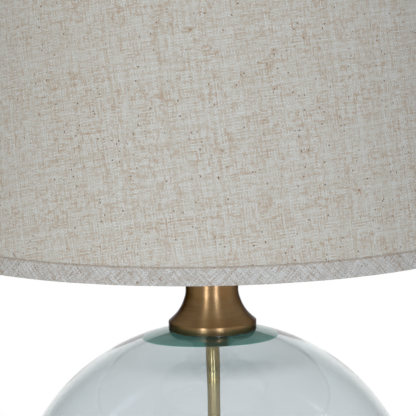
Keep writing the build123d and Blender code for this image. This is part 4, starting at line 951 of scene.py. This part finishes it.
moved = 0
for vertex in globe.data.vertices:
    spot = vertex.co
    reach = hypot(spot.x, spot.y)
    wall = 1 - (reach / glass_radius) ** 2 - ((spot.z - globe_z) / GLASS_HALF_HEIGHT) ** 2
    if spot.z > globe_z and 2 * hole < reach < OVAL_END and wall > INNER:
        fade = smoothstep(2 * hole, CROWN_FLAT, reach) - smoothstep(CROWN_FLAT, OVAL_END, reach)
        spot.x += (-NARROWER[0] * spot.x + OFF_CENTRE[0]) * fade
        spot.y += (-NARROWER[1] * spot.y + OFF_CENTRE[1]) * fade
        moved += 1
print(f"{moved} points of the crown's inside moved")

# %% [markdown]
# ## The neck cap
#
# The cap is a spun bell: a band at the rim, a crease, a slow flare and an upright neck.
# Its edges are rounded by under a millimetre, and the top edge of the band
# catches the light as a thin line.

# %% The neck cap
CAP_WALL = 1.2 * MM
CAP_BAND = 7.2 * MM
CAP_BAND_ROUND = 0.9 * MM
CAP_CREASE_DEPTH = 2.8 * MM
CAP_CREASE_RISE = 1.6 * MM
CAP_NECK_RADIUS = 21.0 * MM
CAP_FLARE_TOP = 31.0 * MM
CAP_TOP_ROUND = 4.0 * MM
CAP_EDGE_ROUND = 0.3 * MM
PIPE_HOLE_RADIUS = 5.25 * MM
FLARE_SHARES = ((1, 0), (0.60, 0.22), (0.23, 0.55), (0, 1))
CREASE_WAY = (-1, 1.1)

cap_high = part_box("neck_cap")[1]
cap_radius, cap_top = cap_high.x, cap_high.z


def cap_wall(inset, top):
    """The bell's outside from its rim to its top, or its inside with an inset."""
    band = cap_radius - inset
    band_top = rim_z + CAP_BAND
    flare_z = rim_z + CAP_BAND + CAP_CREASE_RISE
    run = band - CAP_CREASE_DEPTH - CAP_NECK_RADIUS + inset
    rise = CAP_FLARE_TOP - CAP_BAND - CAP_CREASE_RISE
    flare = [(CAP_NECK_RADIUS - inset + x * run, flare_z + z * rise) for x, z in FLARE_SHARES]
    rim = rounded([
        (band, rim_z, 0),
        (band, band_top - CAP_BAND_ROUND, CAP_EDGE_ROUND),
        (band - CAP_BAND_ROUND, band_top, CAP_EDGE_ROUND),
        (*flare[0], 0),
    ])
    neck = rounded([
        (CAP_NECK_RADIUS - inset, rim_z + CAP_FLARE_TOP, 0),
        (CAP_NECK_RADIUS - inset, top, CAP_TOP_ROUND - inset),
        (PIPE_HOLE_RADIUS, top, 0),
    ], steps=8)
    return rim + smooth_through(flare, CREASE_WAY, (0, 1))[1:] + neck[1:]


cap_outline = cap_wall(0, cap_top) + cap_wall(CAP_WALL, cap_top - CAP_WALL)[::-1]
turned_piece("neck_bell", cap_outline + cap_outline[:1], "antique_brass", "lamp_base",
             "neck_cap", segments=200)

# %% [markdown]
# ## The linen of the shade
#
# The shade's cloth is cut flat as part of a ring, bent round, and glued to a stiff white
# film, with one edge lapped over the other down the back. Its threads are straight on the
# flat cut, so on the finished cone they are upright only along one line, and lean more
# and more to both sides of it. In the picture that line is about fifty degrees to the
# right of the front. The tree below makes the cone with that flat cut as its map: the
# distance from the cone's tip stays, and the angle round the axis shrinks by the
# sine of the cone's half angle.

# %% The shade's cone, and the tree's inputs
SHADE_BOTTOM_WIDTH = 457.2    # 18, 15 and 11 inches: a stock drum
SHADE_TOP_WIDTH = 381.0
SHADE_HEIGHT = 276.79         # upright, for 11 inches on the slant
TAPER = (SHADE_BOTTOM_WIDTH - SHADE_TOP_WIDTH) / 2 / SHADE_HEIGHT
UPRIGHT_THREADS = radians(-90 + 51)     # where the weave stands upright
LAP = 11 * MM
CLOTH_THICKNESS = 0.6 * MM

half_angle_sine = TAPER / hypot(1, TAPER)
roll_up = start_group("Rolled cloth", "GeometryNodeTree", {
    "Geometry": "Geometry", "Bottom Radius": "Float", "Bottom Height": "Float",
    "Top Height": "Float", "Taper": "Float", "Thickness": "Float", "Lap": "Float",
    "Upright": "Float", "Segments": "Int", "Rows": "Int", "Material": "Material"},
    {"Piece": "Geometry"})
roll_up.is_modifier = True
print(f"the shade's sides lean by {asin(half_angle_sine) * 180 / pi:.1f} degrees")

# %% The tree that rolls the cloth: radius, height and turn
given = add(roll_up, "NodeGroupInput")
sheet = add(roll_up, "GeometryNodeMeshGrid",
            {"Size X": 1.0, "Size Y": 1.0, "Vertices X": given["Segments"],
             "Vertices Y": given["Rows"]})["Mesh"]
spot = add(roll_up, "ShaderNodeSeparateXYZ", {0: add(roll_up, "GeometryNodeInputPosition")[0]})
round_share, up_share = [add(roll_up, "ShaderNodeMath", {0: spot[way], 1: 0.5},
                             operation="ADD")[0] for way in ("X", "Y")]
height = add(roll_up, "ShaderNodeMix",
             {0: up_share, 2: given["Bottom Height"], 3: given["Top Height"]})[0]
risen = add(roll_up, "ShaderNodeMath", {0: height, 1: given["Bottom Height"]},
            operation="SUBTRACT")[0]
drop = add(roll_up, "ShaderNodeMath", {0: risen, 1: given["Taper"]}, operation="MULTIPLY")[0]
radius = add(roll_up, "ShaderNodeMath", {0: given["Bottom Radius"], 1: drop},
             operation="SUBTRACT")[0]
lap_turn = add(roll_up, "ShaderNodeMath", {0: given["Lap"], 1: given["Bottom Radius"]},
               operation="DIVIDE")[0]
whole = add(roll_up, "ShaderNodeMath", {0: lap_turn, 1: tau}, operation="ADD")[0]
turn = add(roll_up, "ShaderNodeMath", {0: round_share, 1: whole}, operation="MULTIPLY")[0]
turn = add(roll_up, "ShaderNodeMath", {0: turn, 1: pi}, operation="SUBTRACT")[0]
print(f"{roll_up.name}: {len(roll_up.nodes)} nodes so far")

# %% The tree that rolls the cloth: lap, cone and flat cut
LAP_RISE = 0.02               # radians over which the lap rides up

# The last stretch rides up over the first, by one thickness.
lap_start = add(roll_up, "ShaderNodeMath", {0: pi, 1: LAP_RISE}, operation="SUBTRACT")[0]
over = add(roll_up, "ShaderNodeMapRange", {0: turn, 1: lap_start, 2: pi},
           interpolation_type="SMOOTHSTEP")[0]
lift = add(roll_up, "ShaderNodeMath", {0: over, 1: given["Thickness"]}, operation="MULTIPLY")[0]
outer = add(roll_up, "ShaderNodeMath", {0: radius, 1: lift}, operation="ADD")[0]
angle = add(roll_up, "ShaderNodeMath", {0: turn, 1: given["Upright"]}, operation="ADD")[0]
flat_turn = add(roll_up, "ShaderNodeMath", {0: turn, 1: half_angle_sine},
                operation="MULTIPLY")[0]
reach = add(roll_up, "ShaderNodeMath", {0: radius, 1: half_angle_sine}, operation="DIVIDE")[0]
folded = []
for distance, heading in ((outer, angle), (reach, flat_turn)):
    for way in ("COSINE", "SINE"):
        arm = add(roll_up, "ShaderNodeMath", {0: heading}, operation=way)[0]
        folded.append(add(roll_up, "ShaderNodeMath", {0: arm, 1: distance},
                          operation="MULTIPLY")[0])
place = add(roll_up, "ShaderNodeCombineXYZ", {0: folded[0], 1: folded[1], 2: height})[0]
# On the flat cut, X runs along the weft and Y towards the cone's tip.
cut = add(roll_up, "ShaderNodeMath", {0: 0.0, 1: folded[2]}, operation="SUBTRACT")[0]
shape = store_map(roll_up, sheet, folded[3], cut)
shape = add(roll_up, "GeometryNodeSetPosition", {0: shape, "Position": place})[0]
end_tree(roll_up, shape, given["Material"])

# %% The cloth
GLUE = 0.05 * MM

low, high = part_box("shade_fabric")
cloth = grow("linen_cloth", bpy.data.meshes.new("linen_cloth"), roll_up, {
    "Bottom Radius": high.x, "Bottom Height": low.z, "Top Height": high.z,
    "Taper": TAPER, "Thickness": CLOTH_THICKNESS + GLUE, "Lap": LAP,
    "Upright": UPRIGHT_THREADS, "Segments": 361, "Rows": 24, "Material": shade_linen})
wall = cloth.modifiers.new("Wall", "SOLIDIFY")
wall.thickness = CLOTH_THICKNESS
wall.offset = -1.0
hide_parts("shade_fabric")
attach(cloth, "shade")

# %% [markdown]
# ## The tape over the two edges
#
# A strip of the same linen, cut on the bias so that it bends round the edge without
# a wrinkle, is glued over each edge of the shade. It runs up the outside, folds round the
# wire ring inside the edge and ends on the film inside. Its threads lie at
# forty-five degrees, which is why the edge of the shade looks greyer and finer than the
# rest. Its outline is a bent strip, and the lathe turns it. A ripple of up to 0.15 mm
# stands for the glue and the hand that pressed it.

# %% The tape's section
TAPE = 0.6 * MM
TAPE_TURN_IN = 7.0 * MM
RING_WIRE = 2.6 * MM
FILM = 0.5 * MM

shade_bottom_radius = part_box("bottom_trim")[1].x - TAPE - GLUE


def tape_outline(edge_z, way):
    """The folded strip's section, counter-clockwise, at the lower or the upper edge."""
    film_face = CLOTH_THICKNESS + GLUE + FILM + GLUE
    past_ring = film_face + RING_WIRE + GLUE
    fold = TAPE + GLUE + RING_WIRE + GLUE
    # Each corner is a depth into the wall, a rise from the edge and a rounding in mm.
    section = [
        (-GLUE - TAPE, 0.0, 0.55),
        (-GLUE - TAPE, TAPE_HEIGHT, 0.25),
        (-GLUE, TAPE_HEIGHT, 0.25),
        (-GLUE, TAPE, 0),
        (past_ring, TAPE, 0),
        (past_ring, fold, 0),
        (film_face, fold, 0),
        (film_face, TAPE_TURN_IN, 0.25),
        (film_face + TAPE, TAPE_TURN_IN, 0.25),
        (film_face + TAPE, fold + TAPE, 0),
        (past_ring + TAPE, fold + TAPE, 0.5),
        (past_ring + TAPE, 0.0, 0.55),
    ]
    corners = []
    for depth, rise, fillet in section:
        z = edge_z + way * rise
        radius = shade_bottom_radius - TAPER * (z - shade_low) - depth
        corners.append((radius, z, fillet * MM))
    return rounded(corners if way > 0 else corners[::-1], closed=True, steps=4)


# %% The two tapes
tapes = [turned_piece(name, tape_outline(edge_z, way), "linen_tape", "shade", node,
                      segments=480, ripple=(0.3 * MM, 14 * MM, 5.0 + way))
         for name, node, edge_z, way in (("bottom_tape", "bottom_trim", shade_low, 1),
                                         ("top_tape", "top_trim", shade_high, -1))]

# %% [markdown]
# ## The flat cut
#
# Laid flat, the cloth is part of a ring round the cone's tip. Its outer edge is the
# shade's lower edge, and it fans out over one turn, less the cone's lean, plus the lap.
# The cell below only reads the box of the shade's cloth again.

# %% The box of the shade's cloth
low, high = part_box("shade_fabric")

# %% [markdown]
# ## The end
#
# The box round the dressed lamp is measured and printed.

# %% Measure the dressed lamp's box
low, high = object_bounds()
print(f"dressed, it is {high.z - low.z:.4f} m high and {high.x - low.x:.4f} m wide")
